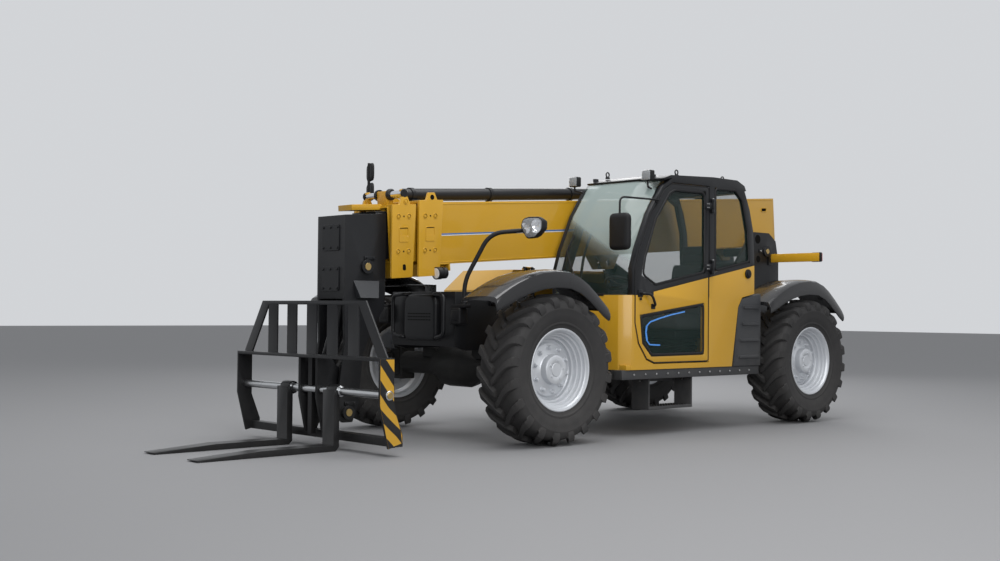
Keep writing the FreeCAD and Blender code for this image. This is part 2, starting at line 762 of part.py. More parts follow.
node("boom_middle", fuse("boom_middle_body", [middle_tube] + middle_pads + middle_rear_pads
                         + middle_ties + middle_cheeks + [chain_guard]), **boom_frame)

# Inner section: tube, boom head and the two plates that reach down to the carriage pin.
inner_rear = middle_rear + 80
head_slope_x = pivot_back + dim.head_rear + 60
inner_tube = tube("inner", inner_rear, head_slope_x, inner_width, inner_height)
inner_pads = wear_pads("inner_pad", inner_rear + 20, inner_rear + 160,
                       inner_width, inner_height, pad_reach, True)
inner_section = fuse("inner_section", [inner_tube] + inner_pads)
place(inner_section, pivot[0], 0, pivot[1], dim.boom_slope)
carriage_pin = (dim.carriage_pivot_front, dim.carriage_pivot_height)
tilt_foot = (size(1140), size(1370))
tilt_head = (size(1388), size(572))
tilt_pin_radius = size(25)
HEAD_SIDE = [
    (dim.head_front, dim.head_top - 15), (dim.head_front, dim.head_floor),
    (dim.head_front - 10, 800), (carriage_pin[0] + 75, 400), (carriage_pin[0] + 75, 215),
    (carriage_pin[0] + 30, 185), (carriage_pin[0] - 60, 185), (carriage_pin[0] - 115, 330),
    (1160, 700), (1080, 870), (dim.head_rear + 10, 1050), (dim.head_rear, 1170),
    (dim.head_rear, dim.head_top + 15),
]
head_inner = dim.head_half_width - dim.head_plate
head_sides = plates("head_side", HEAD_SIDE, head_inner, dim.head_half_width)
head_plates = [
    box("head_cover", (dim.head_front - 20, dim.head_front),
        (-dim.head_half_width, dim.head_half_width), (dim.head_floor, dim.head_top - 15)),
    box("head_roof", (dim.head_rear, dim.head_front - 5),
        (-dim.head_half_width, dim.head_half_width), (dim.head_top - 35, dim.head_top - 15)),
    box("head_back", (dim.head_rear, dim.head_rear + 20),
        (-dim.head_half_width, dim.head_half_width), (1200, dim.head_top - 20)),
    box("head_back_low", (dim.head_rear + 60, dim.head_rear + 80),
        (-dim.head_half_width, dim.head_half_width), (1020, 1180)),
]
head_pins = []
for name, (along, up), radius, stand in (("tilt_pin", tilt_foot, tilt_pin_radius, 22),
                                         ("carriage_pin", carriage_pin, dim.carriage_pin_radius, 30)):
    head_pins.append(rod(name + "_bar", "y", radius, (along, -head_inner, up), 2 * head_inner))
    for side, start in (("left", dim.head_half_width), ("right", -dim.head_half_width - stand)):
        head_pins.append(boss("%s_cap_%s" % (name, side), "y", radius + 20, (along, start, up),
                              stand))
node("boom_inner", fuse("boom_inner_body", [inner_section] + head_pins + head_sides + head_plates))

# Lift cylinder, along its own axis from the foot pin.
lift_top = (pivot[0] + lift_eye[0] * cosine(dim.boom_slope) + lift_eye[1] * sine(dim.boom_slope),
            pivot[1] - lift_eye[0] * sine(dim.boom_slope) + lift_eye[1] * cosine(dim.boom_slope))
lift_legs = (lift_top[0] - lift_foot[0], lift_top[1] - lift_foot[1])
lift_length = distance(*lift_legs)
lift_turn = slope_down(*lift_legs)
barrel_end = lift_length - 128
lift_barrel = fuse("lift_barrel_body", [
    cut("lift_barrel_foot", boss("lift_barrel_eye", "y", 76, (0, -50, 0), 100),
        rod("lift_barrel_eye_bore", "y", lift_pin_radius + dim.running_gap, (0, -60, 0), 120)),
    cut("lift_barrel_tube", rod("lift_barrel_wall", "x", 72, (60, 0, 0), barrel_end - 60),
        rod("lift_barrel_room", "x", 40 + dim.gland_gap, (110, 0, 0), barrel_end)),
])
node("lift_barrel", lift_barrel, lift_foot[0], 0, lift_foot[1], lift_turn)
lift_rod = cut("lift_rod_body", fuse("lift_rod_whole", [
    rod("lift_rod_bar", "x", 40, (150, 0, 0), lift_length - 150 - 50),
    boss("lift_rod_eye", "y", 61, (lift_length, -45, 0), 90),
]), rod("lift_rod_bore", "y", 36, (lift_length, -50, 0), 100))
node("lift_rod", lift_rod, lift_foot[0], 0, lift_foot[1], lift_turn)

# Tilt cylinder inside the boom head.
tilt_legs = (tilt_head[0] - tilt_foot[0], tilt_head[1] - tilt_foot[1])
tilt_length = distance(*tilt_legs)
tilt_turn = slope_down(*tilt_legs)
tilt_barrel = fuse("tilt_barrel_body", [
    cut("tilt_barrel_foot", boss("tilt_barrel_eye", "y", 48, (0, -45, 0), 90),
        rod("tilt_barrel_eye_bore", "y", tilt_pin_radius + dim.running_gap, (0, -50, 0), 100)),
    cut("tilt_barrel_tube", rod("tilt_barrel_wall", "x", 50, (36, 0, 0), tilt_length - 156),
        rod("tilt_barrel_room", "x", 28 + dim.gland_gap, (70, 0, 0), tilt_length)),
])
node("tilt_barrel", tilt_barrel, tilt_foot[0], 0, tilt_foot[1], tilt_turn)
tilt_rod = cut("tilt_rod_body", fuse("tilt_rod_whole", [
    rod("tilt_rod_bar", "x", 28, (130, 0, 0), tilt_length - 130 - 35),
    boss("tilt_rod_eye", "y", 42, (tilt_length, -40, 0), 80),
]), rod("tilt_rod_bore", "y", 26, (tilt_length, -45, 0), 90))
node("tilt_rod", tilt_rod, tilt_foot[0], 0, tilt_foot[1], tilt_turn)

# Telescope cylinder on top of the boom.
tele_height = dim.boom_rise + dim.outer_height / 2 + 70
tele_rear = 520
tele_front = outer_front - 20
tele_barrel = fuse("telescope_barrel_body", [
    cut("telescope_tube", rod("telescope_wall", "x", 52, (tele_rear, 0, tele_height),
                              tele_front - tele_rear),
        rod("telescope_room", "x", 30 + dim.gland_gap, (tele_rear + 60, 0, tele_height),
            tele_front - tele_rear)),
    box("telescope_seat_front", (tele_front - 120, tele_front - 40), (-70, 70),
        (outer_high, tele_height - 40)),
    box("telescope_seat_rear", (tele_rear + 60, tele_rear + 160), (-70, 70),
        (dim.boom_rise + dim.outer_height / 2, tele_height - 40)),
])
node("telescope_barrel", tele_barrel, **boom_frame)
rod_front = middle_front - 168
tele_rod = fuse("telescope_rod_body", [
    rod("telescope_rod_bar", "x", 30, (tele_rear + 120, 0, tele_height),
        rod_front - tele_rear - 120),
    rod("telescope_rod_cross", "y", 26.5, (rod_front, -dim.collar_half_width + 2, tele_height),
        2 * dim.collar_half_width - 4),
    box("telescope_rod_seat", (rod_front - 30, rod_front + 30), (-60, 60),
        (middle_high, tele_height)),
])
node("telescope_rod", tele_rod, **boom_frame)

# Fork carriage.
half_wide = dim.carriage_half_width
CARRIAGE_SIDE = [
    (dim.carriage_front, dim.rail_height), (dim.carriage_front, 370),
    (dim.carriage_front - 80, 60), (dim.carriage_rear - 80, 90), (dim.carriage_rear - 80, 150),
    (dim.carriage_rear, 350), (dim.carriage_rear, dim.rail_height),
]
LUG_SIDE = [
    (dim.shaft_front + 40, dim.rail_height - 10), (dim.shaft_front + 40, 380),
    (dim.carriage_rear + 30, 110),
    (dim.carriage_rear - 60, 110), (carriage_pin[0] + 40, 192), (carriage_pin[0] - 60, 200),
    (carriage_pin[0] - 66, 300), (carriage_pin[0], 340), (tilt_head[0] - 46, 530),
    (tilt_head[0] - 46, 600), (tilt_head[0] - 10, 625), (1420, dim.rail_height - 10),
]
lug_inner = size(98)
rail_notch = dim.carriage_rear + 48
tilt_ear = boss("tilt_ear_boss", "y", 40, (tilt_head[0], 47, tilt_head[1]), lug_inner - 47)
shaft_bore = ring_of(dim.shaft_front, dim.shaft_height, dim.shaft_radius)
carriage_sides = plates("carriage_side", CARRIAGE_SIDE, half_wide - 16, half_wide,
                        windows=[shaft_bore])
carriage_lugs = plates("carriage_lug", LUG_SIDE, lug_inner, lug_inner + 28, [
    (carriage_pin[0], carriage_pin[1], dim.carriage_pin_radius + dim.running_gap)], [shaft_bore])
backrest_plane = (1500, 1514)
rails = [
    plate("middle_rail", "plan", [
        (dim.carriage_rear, half_wide), (dim.carriage_front, half_wide),
        (dim.carriage_front, -half_wide), (dim.carriage_rear, -half_wide),
        (dim.carriage_rear, -lug_inner), (rail_notch, -lug_inner), (rail_notch, lug_inner),
        (dim.carriage_rear, lug_inner)], dim.rail_height - 24, dim.rail_height),
    box("top_rail", backrest_plane, (-dim.backrest_half_width, dim.backrest_half_width),
        (dim.backrest_height - 30, dim.backrest_height)),
    box("bottom_rail", (dim.carriage_rear - 80, dim.carriage_rear), (-half_wide, half_wide),
        (70, 130)),
    cut("centre_bar", box("centre_bar_whole", (1480, 1520), (-25, 25), (100, dim.rail_height - 10)),
        boss("centre_bar_bore", "y", dim.shaft_radius, (dim.shaft_front, -30, dim.shaft_height), 60)),
]
for index, across in enumerate((-530, -265, 0, 265, 530)):
    rails.append(box("slat_%d" % index, backrest_plane, (across - 62, across + 62),
                     (dim.rail_height - 10, dim.backrest_height - 10)))
brace = plate("backrest_brace", "front", [
    (dim.backrest_half_width, dim.backrest_height),
    (dim.backrest_half_width - 105, dim.backrest_height),
    (half_wide - 110, dim.rail_height - 5), (half_wide, dim.rail_height - 5)],
    backrest_plane[0], backrest_plane[1])
node("carriage", fuse("carriage_body", carriage_sides + carriage_lugs + rails + [
    tilt_ear, mirrored("tilt_ear_boss_right", tilt_ear),
    brace, mirrored("backrest_brace_right", brace)]))
shaft = fuse("fork_shaft_body", [
    boss("fork_shaft_bar", "y", dim.shaft_radius - 0.3,
         (dim.shaft_front, -half_wide - 2, dim.shaft_height), 2 * half_wide + 4),
    boss("fork_shaft_cap", "y", 36, (dim.shaft_front, half_wide, dim.shaft_height), 18),
    boss("fork_shaft_cap_right", "y", 36, (dim.shaft_front, -half_wide - 18, dim.shaft_height), 18),
])
node("fork_shaft", shaft)
FORK_SIDE = [
    (dim.fork_face - dim.fork_thickness, 30), (dim.fork_face - dim.fork_thickness + 30, 0),
    (fork_tip - 30, 0), (fork_tip, 8), (fork_tip, 14), (fork_tip - 500, dim.fork_thickness - 5),
    (dim.fork_face, dim.fork_thickness - 5), (dim.fork_face, dim.shaft_height + 10),
    (dim.fork_face - dim.fork_thickness, dim.shaft_height + 10),
]
blade = plate("fork_blade", "side", FORK_SIDE, dim.fork_spacing - dim.fork_width / 2,
              dim.fork_spacing + dim.fork_width / 2)
fork_eye = boss("fork_eye", "y", 50, (dim.shaft_front, dim.fork_spacing - dim.fork_width / 2 + 15,
                                     dim.shaft_height), dim.fork_width - 30)
fork_bore = boss("fork_bore", "y", dim.shaft_radius, (dim.shaft_front, 100, dim.shaft_height), 400)
fork = cut("fork_bored", fuse("fork_whole", [blade, fork_eye]), fork_bore)
node("forks", both_sides("forks_body", fork))

# The cab, the engine pod, the side tank and the sill stand in the bay between the tyres. Their
# places along the machine are written for the nominal bay and stretch with it.
bay_front = -(tyre_radius + 112.5)
bay_rear = rear_axle + tyre_radius + 42.5
nominal_front = -700
nominal_length = 2100
stretch = (bay_front - bay_rear) / nominal_length


def bay(along):
    return bay_front + (size(along) - nominal_front) * stretch


def in_bay(outline):
    return [(bay(a), b) for a, b in outline]


def bay_box(name, x, y, z):
    return box(name, (bay(x[0]), bay(x[1])), y, z)


def bay_plate(name, plane, outline, low, high, windows=()):
    return plate(name, plane, in_bay(outline), low, high, windows=[in_bay(w) for w in windows])


def bay_profiles(name, outline, sections):
    return profiles(name, in_bay(outline), sections)


# Cab: a hollow cell on the left, of a black frame, yellow lower panels, roof, glass and a door.
cab_left = dim.cab_left
cab_right = dim.cab_right
left_inner = cab_left - dim.cab_wall
right_inner = cab_right + dim.cab_wall
belt = dim.cab_belt
floor = dim.cab_floor
pane = dim.glass_thickness

FRAME_OUTLINE = [
    # along, up: the upper half of the cab seen from the side
    (-905, belt), (-905, 1400), (-960, 1560), (-1110, 1870), (-1290, 2110), (-1420, 2190),
    (-2330, 2200), (-2450, 2150), (-2530, 1980), (-2585, 1790), (-2605, 1500), (-2605, 1475),
    (-1990, 1360), (-1990, belt), (-1936, belt), (-1936, 2156), (-1427, 2151), (-1310, 2090),
    (-1134, 1862), (-986, 1562), (-932, 1401), (-932, belt),
]
QUARTER_WINDOW = [
    (-2010, 2150), (-2320, 2155), (-2430, 2060), (-2510, 1790), (-2535, 1500), (-2010, 1400)]
DOOR_UPPER = [
    (-938, belt), (-938, 1400), (-992, 1560), (-1140, 1860), (-1315, 2085), (-1430, 2145),
    (-1930, 2150), (-1930, belt + 170), (-1180, belt + 32), (-1180, belt),
]
DOOR_LOWER = [
    (-938, belt), (-1180, belt), (-1180, belt + 32), (-1930, belt + 170), (-1930, floor + 10),
    (-1190, floor + 10), (-1090, 645), (-985, 780), (-938, 950),
]
DOOR_WINDOW = [
    (-1025, 1345), (-1055, 1500), (-1190, 1830), (-1370, 2060), (-1450, 2100), (-1880, 2105),
    (-1880, 1385), (-1200, 1260)]
LOWER_WINDOW = [(-1005, 1015), (-1868, 1125), (-1868, 672), (-1155, 668), (-1035, 780)]
RIGHT_OUTLINE = [
    (-905, belt), (-905, 1400), (-960, 1560), (-1110, 1870), (-1290, 2110), (-1420, 2190),
    (-2330, 2200), (-2450, 2150), (-2530, 1980), (-2585, 1790), (-2605, 1500), (-2605, 1216),
    (-2420, belt)]
RIGHT_WINDOW = [
    (-990, 1300), (-990, 1420), (-1170, 1850), (-1340, 2070), (-1440, 2120), (-2300, 2125),
    (-2440, 2050), (-2520, 1790), (-2540, 1300)]

ROOF_LAMPS = [
    # name, place along, place across
    ("left", -1330, 960), ("right", -1290, 330)]
DOOR_HINGES = [
    # name, height of the middle
    ("low", 1440), ("high", 1980)]


left_frame = bay_plate("cab_left_frame", "side", FRAME_OUTLINE, left_inner, cab_left,
                   windows=[QUARTER_WINDOW])
right_frame = bay_plate("cab_right_frame", "side", RIGHT_OUTLINE, cab_right, right_inner,
                    windows=[RIGHT_WINDOW])
CAB_BARS = [
    # name, along, up
    ("header", (-1430, -1380), (2156, 2178)),
    ("rear_header", (-2430, -2330), (2120, 2188)),
    ("rear_belt", (-2604, -2560), (1400, 1500)),
]
bars = [bay_box("cab_" + name, along, (right_inner, left_inner), up) for name, along, up in CAB_BARS]
hinge_place = (bay(-1960), cab_left + 20)
hinge_pin_radius = size(6)
hinge_posts = []
for part, height in DOOR_HINGES:
    hinge_posts.append(boss("hinge_pin_" + part, "z", hinge_pin_radius,
                            (hinge_place[0], hinge_place[1], height - 40), 80, 8))
    for end, start in (("under", height - 62), ("over", height + 31)):
        hinge_posts.append(boss("hinge_post_%s_%s" % (part, end), "z", 14,
                                (hinge_place[0], hinge_place[1], start), 31, 8))
        hinge_posts.append(bay_box("hinge_leaf_%s_%s" % (part, end), (-1985, -1950),
                               (cab_left, cab_left + 20), (start, start + 31)))

BODY_SIDE = [
    # rear quarter below the belt, from its front edge
    (-1936, belt), (-1990, belt), (-1990, 1360), (-2605, 1475), (-2605, 1216), (-2420, belt),
    (-2360, 1092), (-2270, 560), (-905, 560), (-905, 604), (-1190, 604), (-1936, 604)]
rear_quarter = bay_plate("cab_rear_quarter", "side", BODY_SIDE, left_inner, cab_left)
low_right = frame_outer + 5
FRONT_PLAN = [
    # along, sideways: the front panel bends round to the door
    (-800, low_right), (-800, 880), (-832, 1010), (-905, cab_left), (-932, cab_left),
    (-932, left_inner), (-885, 990), (-845, 870), (-845, low_right)]
front_panel = bay_plate("cab_front_panel", "plan", FRONT_PLAN, 560, belt)
right_panel = bay_plate("cab_right_panel", "side", [
    (-840, 560), (-840, belt), (-2420, belt), (-2360, 1092), (-2270, 560)],
    low_right, low_right + dim.cab_wall)
BACK_LOW = [(-2420, belt), (-2360, 1092), (-2270, 560), (-2230, 560), (-2322, 1105),
            (-2398, belt + 42)]
BACK_SHELF = [(-2604, 1216), (-2420, belt), (-2398, belt + 42), (-2604, 1256)]
node("cab_body", fuse("cab_body_panels", [
    rear_quarter, front_panel, right_panel,
    bay_box("cab_floor_plate", (-2260, -840), (low_right, cab_left - 5), (560, floor)),
    bay_box("cab_ledge", (-2400, -800), (cab_right, low_right + 20), (dim.frame_top, belt)),
    bay_plate("cab_back_low", "side", BACK_LOW, low_right, cab_left - 5),
    bay_plate("cab_back_shelf", "side", BACK_SHELF, right_inner, cab_left - 5),
    bay_box("cab_rear_wall", (-2604, -2564), (right_inner, left_inner + 5), (1246, 1400)),
]))

FRONT_BEND = [
    # across, how far the front is drawn back there
    (cab_right, 0), (850, -6), (1000, -40), (left_inner, -82)]
roof = bay_plate("cab_roof", "side", [
    (-1420, 2190), (-1315, 2165), (-1305, 2178), (-1400, 2213), (-1990, 2240), (-2340, 2238),
    (-2450, 2195), (-2475, 2150), (-2450, 2150), (-2330, 2200)], cab_right, cab_left)
visor = bay_profiles("cab_visor", [
    (-1330, 2160), (-1228, 2163), (-1218, 2178), (-1330, 2212)], FRONT_BEND)
lamp_feet = [bay_box("roof_lamp_foot_" + name, (along - 20, along + 20), (across - 15, across + 15),
                 (2160, 2222))
             for name, along, across in ROOF_LAMPS]
node("cab_frame", fuse("cab_frame_body", [left_frame, right_frame, roof, visor] + bars
                       + hinge_posts + lamp_feet))

GLASS_SIDE = [
    (-805, belt), (-810, 1400), (-862, 1560), (-1010, 1870), (-1180, 2110), (-1228, 2160)]
windscreen = bay_profiles("windscreen", GLASS_SIDE + [(a - pane, b) for a, b in reversed(GLASS_SIDE)],
                      [(cab_right, 0), (850, -6), (1000, -40), (left_inner, -90)])
quarter_pane = bay_plate("quarter_pane", "side", QUARTER_WINDOW, cab_left - 20, cab_left - 20 + pane)
right_pane = bay_plate("right_pane", "side", RIGHT_WINDOW, cab_right + 12, cab_right + 12 + pane)
REAR_SIDE = [(-2590, 1500), (-2570, 1790), (-2515, 1975), (-2430, 2148)]
rear_pane = bay_plate("rear_pane", "side", REAR_SIDE + [(a - pane, b) for a, b in reversed(REAR_SIDE)],
                  right_inner, left_inner)
side_sheet = bay_plate("windscreen_side", "side", [
    (-805 - pane, belt), (-810 - pane, 1400), (-862 - pane, 1560), (-1010 - pane, 1870),
    (-1180 - pane, 2110), (-1290, 2110), (-1110, 1870), (-960, 1560), (-905, 1400), (-905, belt)],
    cab_right, cab_right + pane)
node("cab_glass", group("cab_glass_body", [
    fuse("front_glass", [windscreen, side_sheet]), quarter_pane, right_pane, rear_pane]))

door_outer = cab_left
door_inner = cab_left - dim.cab_wall
door_upper = bay_plate("door_upper", "side", DOOR_UPPER, door_inner, door_outer,
                   windows=[DOOR_WINDOW])
hinges = []
for part, height in DOOR_HINGES:
    hinges.append(bay_box("door_leaf_" + part, (-1925, -1860), (door_outer - 2, door_outer + 17),
                      (height - 30, height + 30)))
    arm = bay_box("door_hinge_" + part, (-1960, -1900), (door_outer + 7, door_outer + 17),
              (height - 30, height + 30))
    knuckle_bar = boss("door_knuckle_" + part, "z", 14,
                       (hinge_place[0], hinge_place[1], height - 30), 60, 8)
    hinges.append(cut("door_hinge_bored_" + part, fuse("door_hinge_whole_" + part, [arm, knuckle_bar]),
                      rod("door_hinge_bore_" + part, "z", hinge_pin_radius + dim.running_gap,
                          (hinge_place[0], hinge_place[1], height - 40), 80)))
handle = pipe("door_handle", [
    (bay(-1000), door_outer - 3, 1195), (bay(-1000), door_outer + 45, 1195),
    (bay(-1090), door_outer + 45, 1195), (bay(-1090), door_outer - 3, 1195)], 8, 14)
node("door_frame", fuse("door_frame_body", [door_upper, handle] + hinges))
door_lower = bay_plate("door_lower", "side", DOOR_LOWER, door_inner, door_outer,
                   windows=[LOWER_WINDOW])
node("door_panel", group("door_panel_body", [door_lower]))
node("door_glass", group("door_glass_body", [
    bay_plate("door_pane", "side", DOOR_WINDOW, door_outer - 20, door_outer - 20 + pane),
    bay_plate("door_low_pane", "side", LOWER_WINDOW, door_outer - 12,
          door_outer - 12 + pane)]))
# Inside the cab: seat, console and steering wheel.
seat_middle = (cab_left + cab_right) / 2
seat = fuse("seat_body", [
    bay_box("seat_base", (-2120, -1760), (seat_middle - 170, seat_middle + 170), (floor, 880)),
    bay_box("seat_cushion", (-2170, -1690), (seat_middle - 240, seat_middle + 240), (870, 1000)),
    bay_plate("seat_back", "side", [(-2090, 980), (-2200, 980), (-2290, 1650), (-2190, 1660)],
          seat_middle - 230, seat_middle + 230)])
node("seat", seat)
console = fuse("console_body", [
    bay_box("console_block", (-1120, -900), (460, 900), (floor, 1120)),
    bay_plate("console_column", "side", [(-1120, 900), (-1060, 900), (-1230, 1240), (-1290, 1220)],
          seat_middle - 60, seat_middle + 60)])
wheel_rim = shaped("steering_rim", wheel_form(
    [(168, -11), (192, -11), (192, 11), (168, 11)], 20, True))
steering = fuse("steering_wheel", [
    wheel_rim, box("steering_spoke_wide", (-18, 18), (-4, 8), (-172, 172)),
    box("steering_spoke_low", (-172, 0), (-4, 8), (-18, 18)),
    box("steering_boss", (-40, 40), (-30, 12), (-40, 40))])
steering.Placement = FreeCAD.Placement(
    V(0, 0, 0), FreeCAD.Rotation(V(0, 1, 0), -30).multiply(FreeCAD.Rotation(V(1, 0, 0), 90)))
place(steering, bay(-1288), seat_middle, 1250)
node("console", fuse("console_and_wheel", [console, steering]))

# Engine pod on the right: block, black tray and hinged bonnet.
pod_front = bay(-760)
pod_rear = bay(-2700)
pod_inner = -(dim.frame_half_width + 16)
pod_outer = -1120
tray = plate("engine_tray_side", "side", [
    (pod_front, 1040), (pod_front, 640), (pod_front - 80, 560), (pod_rear + 90, 560),
    (pod_rear, 700), (pod_rear, 1040), (pod_rear + 40, 1040), (pod_rear + 40, 720),
    (pod_rear + 110, 600), (pod_front - 100, 600), (pod_front - 40, 660), (pod_front - 40, 1040)],
    pod_outer, pod_inner)
tray_back = box("engine_tray_wall", (pod_rear + 30, pod_front - 30),
                (pod_inner - 20, -dim.frame_half_width), (700, 1040))
tray_outer = box("engine_tray_door", (pod_rear + 40, pod_front - 40),
                 (pod_outer, pod_outer + 30), (640, 1040))
node("engine_tray", fuse("engine_tray_body", [tray, tray_back, tray_outer]))
node("engine_block", group("engine_block_body", [
    bay_box("engine_mass", (-2450, -1250), (-1040, -480), (600, 1180))]))
BONNET_SIDE = [
    (pod_front, 1050), (pod_front, 1230), (pod_front - 240, 1420), (pod_rear + 200, 1440),
    (pod_rear, 1330), (pod_rear, 1050)]
BONNET_INSIDE = [
    (pod_front - 30, 1040), (pod_front - 30, 1215), (pod_front - 250, 1390),
    (pod_rear + 205, 1410), (pod_rear + 30, 1310), (pod_rear + 30, 1040)]
bonnet = cut("bonnet_shell", plate("bonnet_outside", "side", BONNET_SIDE, pod_outer, pod_inner),
             plate("bonnet_inside", "side", BONNET_INSIDE, pod_outer + 30, pod_inner + 30))
BONNET_HINGES = [
    # name, place along
    ("front", bay(-1200)), ("rear", bay(-2300))]
bonnet_axis = (-(frame_outer + 2), 1440)
bonnet_knuckles = []
bonnet_bores = []
bonnet_posts = []
for name, along in BONNET_HINGES:
    bonnet_knuckles.append(boss("bonnet_knuckle_" + name, "x", 12,
                                (along, bonnet_axis[0], bonnet_axis[1]), 60, 8))
    bonnet_bores.append(rod("bonnet_bore_" + name, "x", hinge_pin_radius + dim.running_gap,
                            (along - 10, bonnet_axis[0], bonnet_axis[1]), 80))
    bonnet_posts.append(boss("bonnet_pin_" + name, "x", hinge_pin_radius,
                             (along - 20, bonnet_axis[0], bonnet_axis[1]), 100, 8))
    bonnet_knuckles.append(box("bonnet_leaf_" + name, (along, along + 60),
                               (pod_inner - 40, bonnet_axis[0]), (1415, 1440)))
    for side, start in (("fore", along + 61), ("aft", along - 31)):
        bonnet_posts.append(boss("bonnet_post_eye_%s_%s" % (name, side), "x", 12,
                                 (start, bonnet_axis[0], bonnet_axis[1]), 30, 8))
        bonnet_posts.append(box("bonnet_post_%s_%s" % (name, side), (start, start + 30),
                                (-frame_outer, -frame_inner), (1140, 1440)))
node("bonnet", cut("bonnet_body", fuse("bonnet_whole", [bonnet] + bonnet_knuckles),
                   fuse("bonnet_bores", bonnet_bores)))
node("chassis_frame", fuse("chassis_frame_body", frame_sides + frame_ties + bonnet_posts))

# Fenders: the same curved sheet over each wheel, on a bracket from the frame.
FENDER_CURVE = [
    # along from the wheel, up, depth of the turned lip
    (700, 1135, 16), (470, 1260, 42), (215, 1345, 52), (-75, 1350, 52), (-280, 1265, 46),
    (-455, 1130, 26), (-525, 1062, 14)]
fender_sheet = 12
tyre_fit = tyre_radius / 587.5
FENDER_SIDE = [(a * tyre_fit, b * tyre_fit) for a, b, lip in FENDER_CURVE]
LIP_SIDE = [(a * tyre_fit * 0.985, b * tyre_fit - lip) for a, b, lip in reversed(FENDER_CURVE)]
arm_height = 1250 * tyre_fit
fenders = []
for name, along, side in WHEELS:
    under = [(a * 0.985, b - fender_sheet) for a, b in reversed(FENDER_SIDE)]
    skin = plate("fender_" + name, "side", FENDER_SIDE + under, 800, 1190)
    lip = plate("fender_lip_" + name, "side", FENDER_SIDE + LIP_SIDE, 1188, 1200)
    foot = box("fender_foot_" + name, (-60, 60), (dim.frame_half_width, dim.frame_half_width + 12),
               (dim.frame_top - 70, arm_height + 10))
    arm = box("fender_arm_" + name, (-60, 60), (dim.frame_half_width, 1100),
              (arm_height, arm_height + 12))
    post = box("fender_post_" + name, (-60, 60), (1040, 1052),
               (arm_height + 5, arm_height + 5 + 87 * tyre_fit))
    whole = fuse("fender_whole_" + name, [skin, lip, foot, arm, post])
    place(whole, along)
    fenders.append(whole if side > 0 else mirrored("fender_turned_" + name, whole))
node("fenders", group("fenders_body", fenders))

# Left side below the cab: ribbed tank behind the cab, sill rail and hanging step.
TANK_SIDE = [(-2425, 1170), (-2700, 1218), (-2700, 560), (-2290, 560), (-2366, 1092)]
tank = [bay_plate("side_tank_block", "side", TANK_SIDE, frame_outer + 5, 1105)]
for k, (height, front) in enumerate(((1080, -2400), (930, -2380), (780, -2350), (630, -2330))):
    tank.append(bay_box("side_tank_rib_%d" % k, (-2660, front - 30), (1100, 1122),
                    (height, height + 28)))
sill = [
    bay_box("sill_rail", (-2700, -800), (1000, 1085), (480, 560)),
    bay_box("sill_cross_front", (-900, -820), (frame_outer, 1010), (480, 560)),
    bay_box("sill_cross_rear", (-2640, -2560), (frame_outer, 1010), (480, 560)),
]
for k, along in enumerate((-1200, -1770)):
    sill.append(bay_box("step_hanger_%d" % k, (along - 8, along + 8), (850, 1040), (215, 490)))
sill.append(bay_box("step_brace", (-1770, -1200), (850, 862), (440, 480)))
sill.append(bay_box("step_tread", (-1775, -1195), (850, 1040), (215, 240)))
node("sill_and_step", group("sill_and_step_body", [fuse("side_tank_body", tank),
                                                   fuse("sill_body", sill)]))

# Front of the frame: grille cover and two tie-down loops.
slots = [[(left, 930), (left + 26, 930), (left + 26, 1000), (left, 1000)]
         for left in (-110, -62, -14, 34, 82)]
nose_cover = plate("nose_cover", "front", [
    (-150, dim.frame_bottom + 60), (150, dim.frame_bottom + 60), (150, 1160), (-150, 1160)],
    dim.frame_nose, dim.frame_nose + 20, windows=slots)
loops = []
for side in (1, -1):
    loops.append(pipe("nose_loop_%s" % ("left" if side > 0 else "right"), [
        (dim.frame_nose, side * 225, 1150), (dim.frame_nose + 60, side * 225, 1150),
        (dim.frame_nose + 60, side * 225, 860), (dim.frame_nose, side * 225, 860)], 14, 50))
node("nose_guard", group("nose_guard_body", [nose_cover] + loops))

# Headlamps on bent poles, the round lamp, and the brackets that carry them.
LAMP_POLE = [(430, 520, 1085), (430, 520, 1270), (300, 670, 1650), (120, 840, 1672),
             (105, 900, 1672)]
lamp_pole = fuse("lamp_pole_left", [
    pipe("lamp_pole_bar", LAMP_POLE, 17, 70),
    box("lamp_pole_bracket", (395, 470), (dim.frame_half_width, 560), (1060, 1090)),
])
lamp_head = plate("headlamp_shell", "plan", [
    (150, 860), (155, 1010), (120, 1095), (70, 1110), (60, 960), (75, 870)], 1600, 1775)
lamp_bored = cut("headlamp_bored", lamp_head, pipe("lamp_pole_room", LAMP_POLE, 17, 70))

# Mirrors: one on an arm at the cab's front pillar, two on a pole at the right front.
left_arm = pipe("mirror_arm_left", [
    (bay(-1212), cab_left, 1985), (bay(-1212), cab_left + 30, 1985), (bay(-750), 1095, 1985),
    (bay(-750), 1095, 1840)], 8, 24)


def mirror_outline(middle, half_width, low, high, corner):
    """A mirror head seen from the front, with its corners cut."""
    left = middle + half_width
    right = middle - half_width
    return [(right + corner, low), (left - corner, low), (left, low + corner),
            (left, high - corner), (left - corner, high), (right + corner, high),
            (right, high - corner), (right, low + corner)]


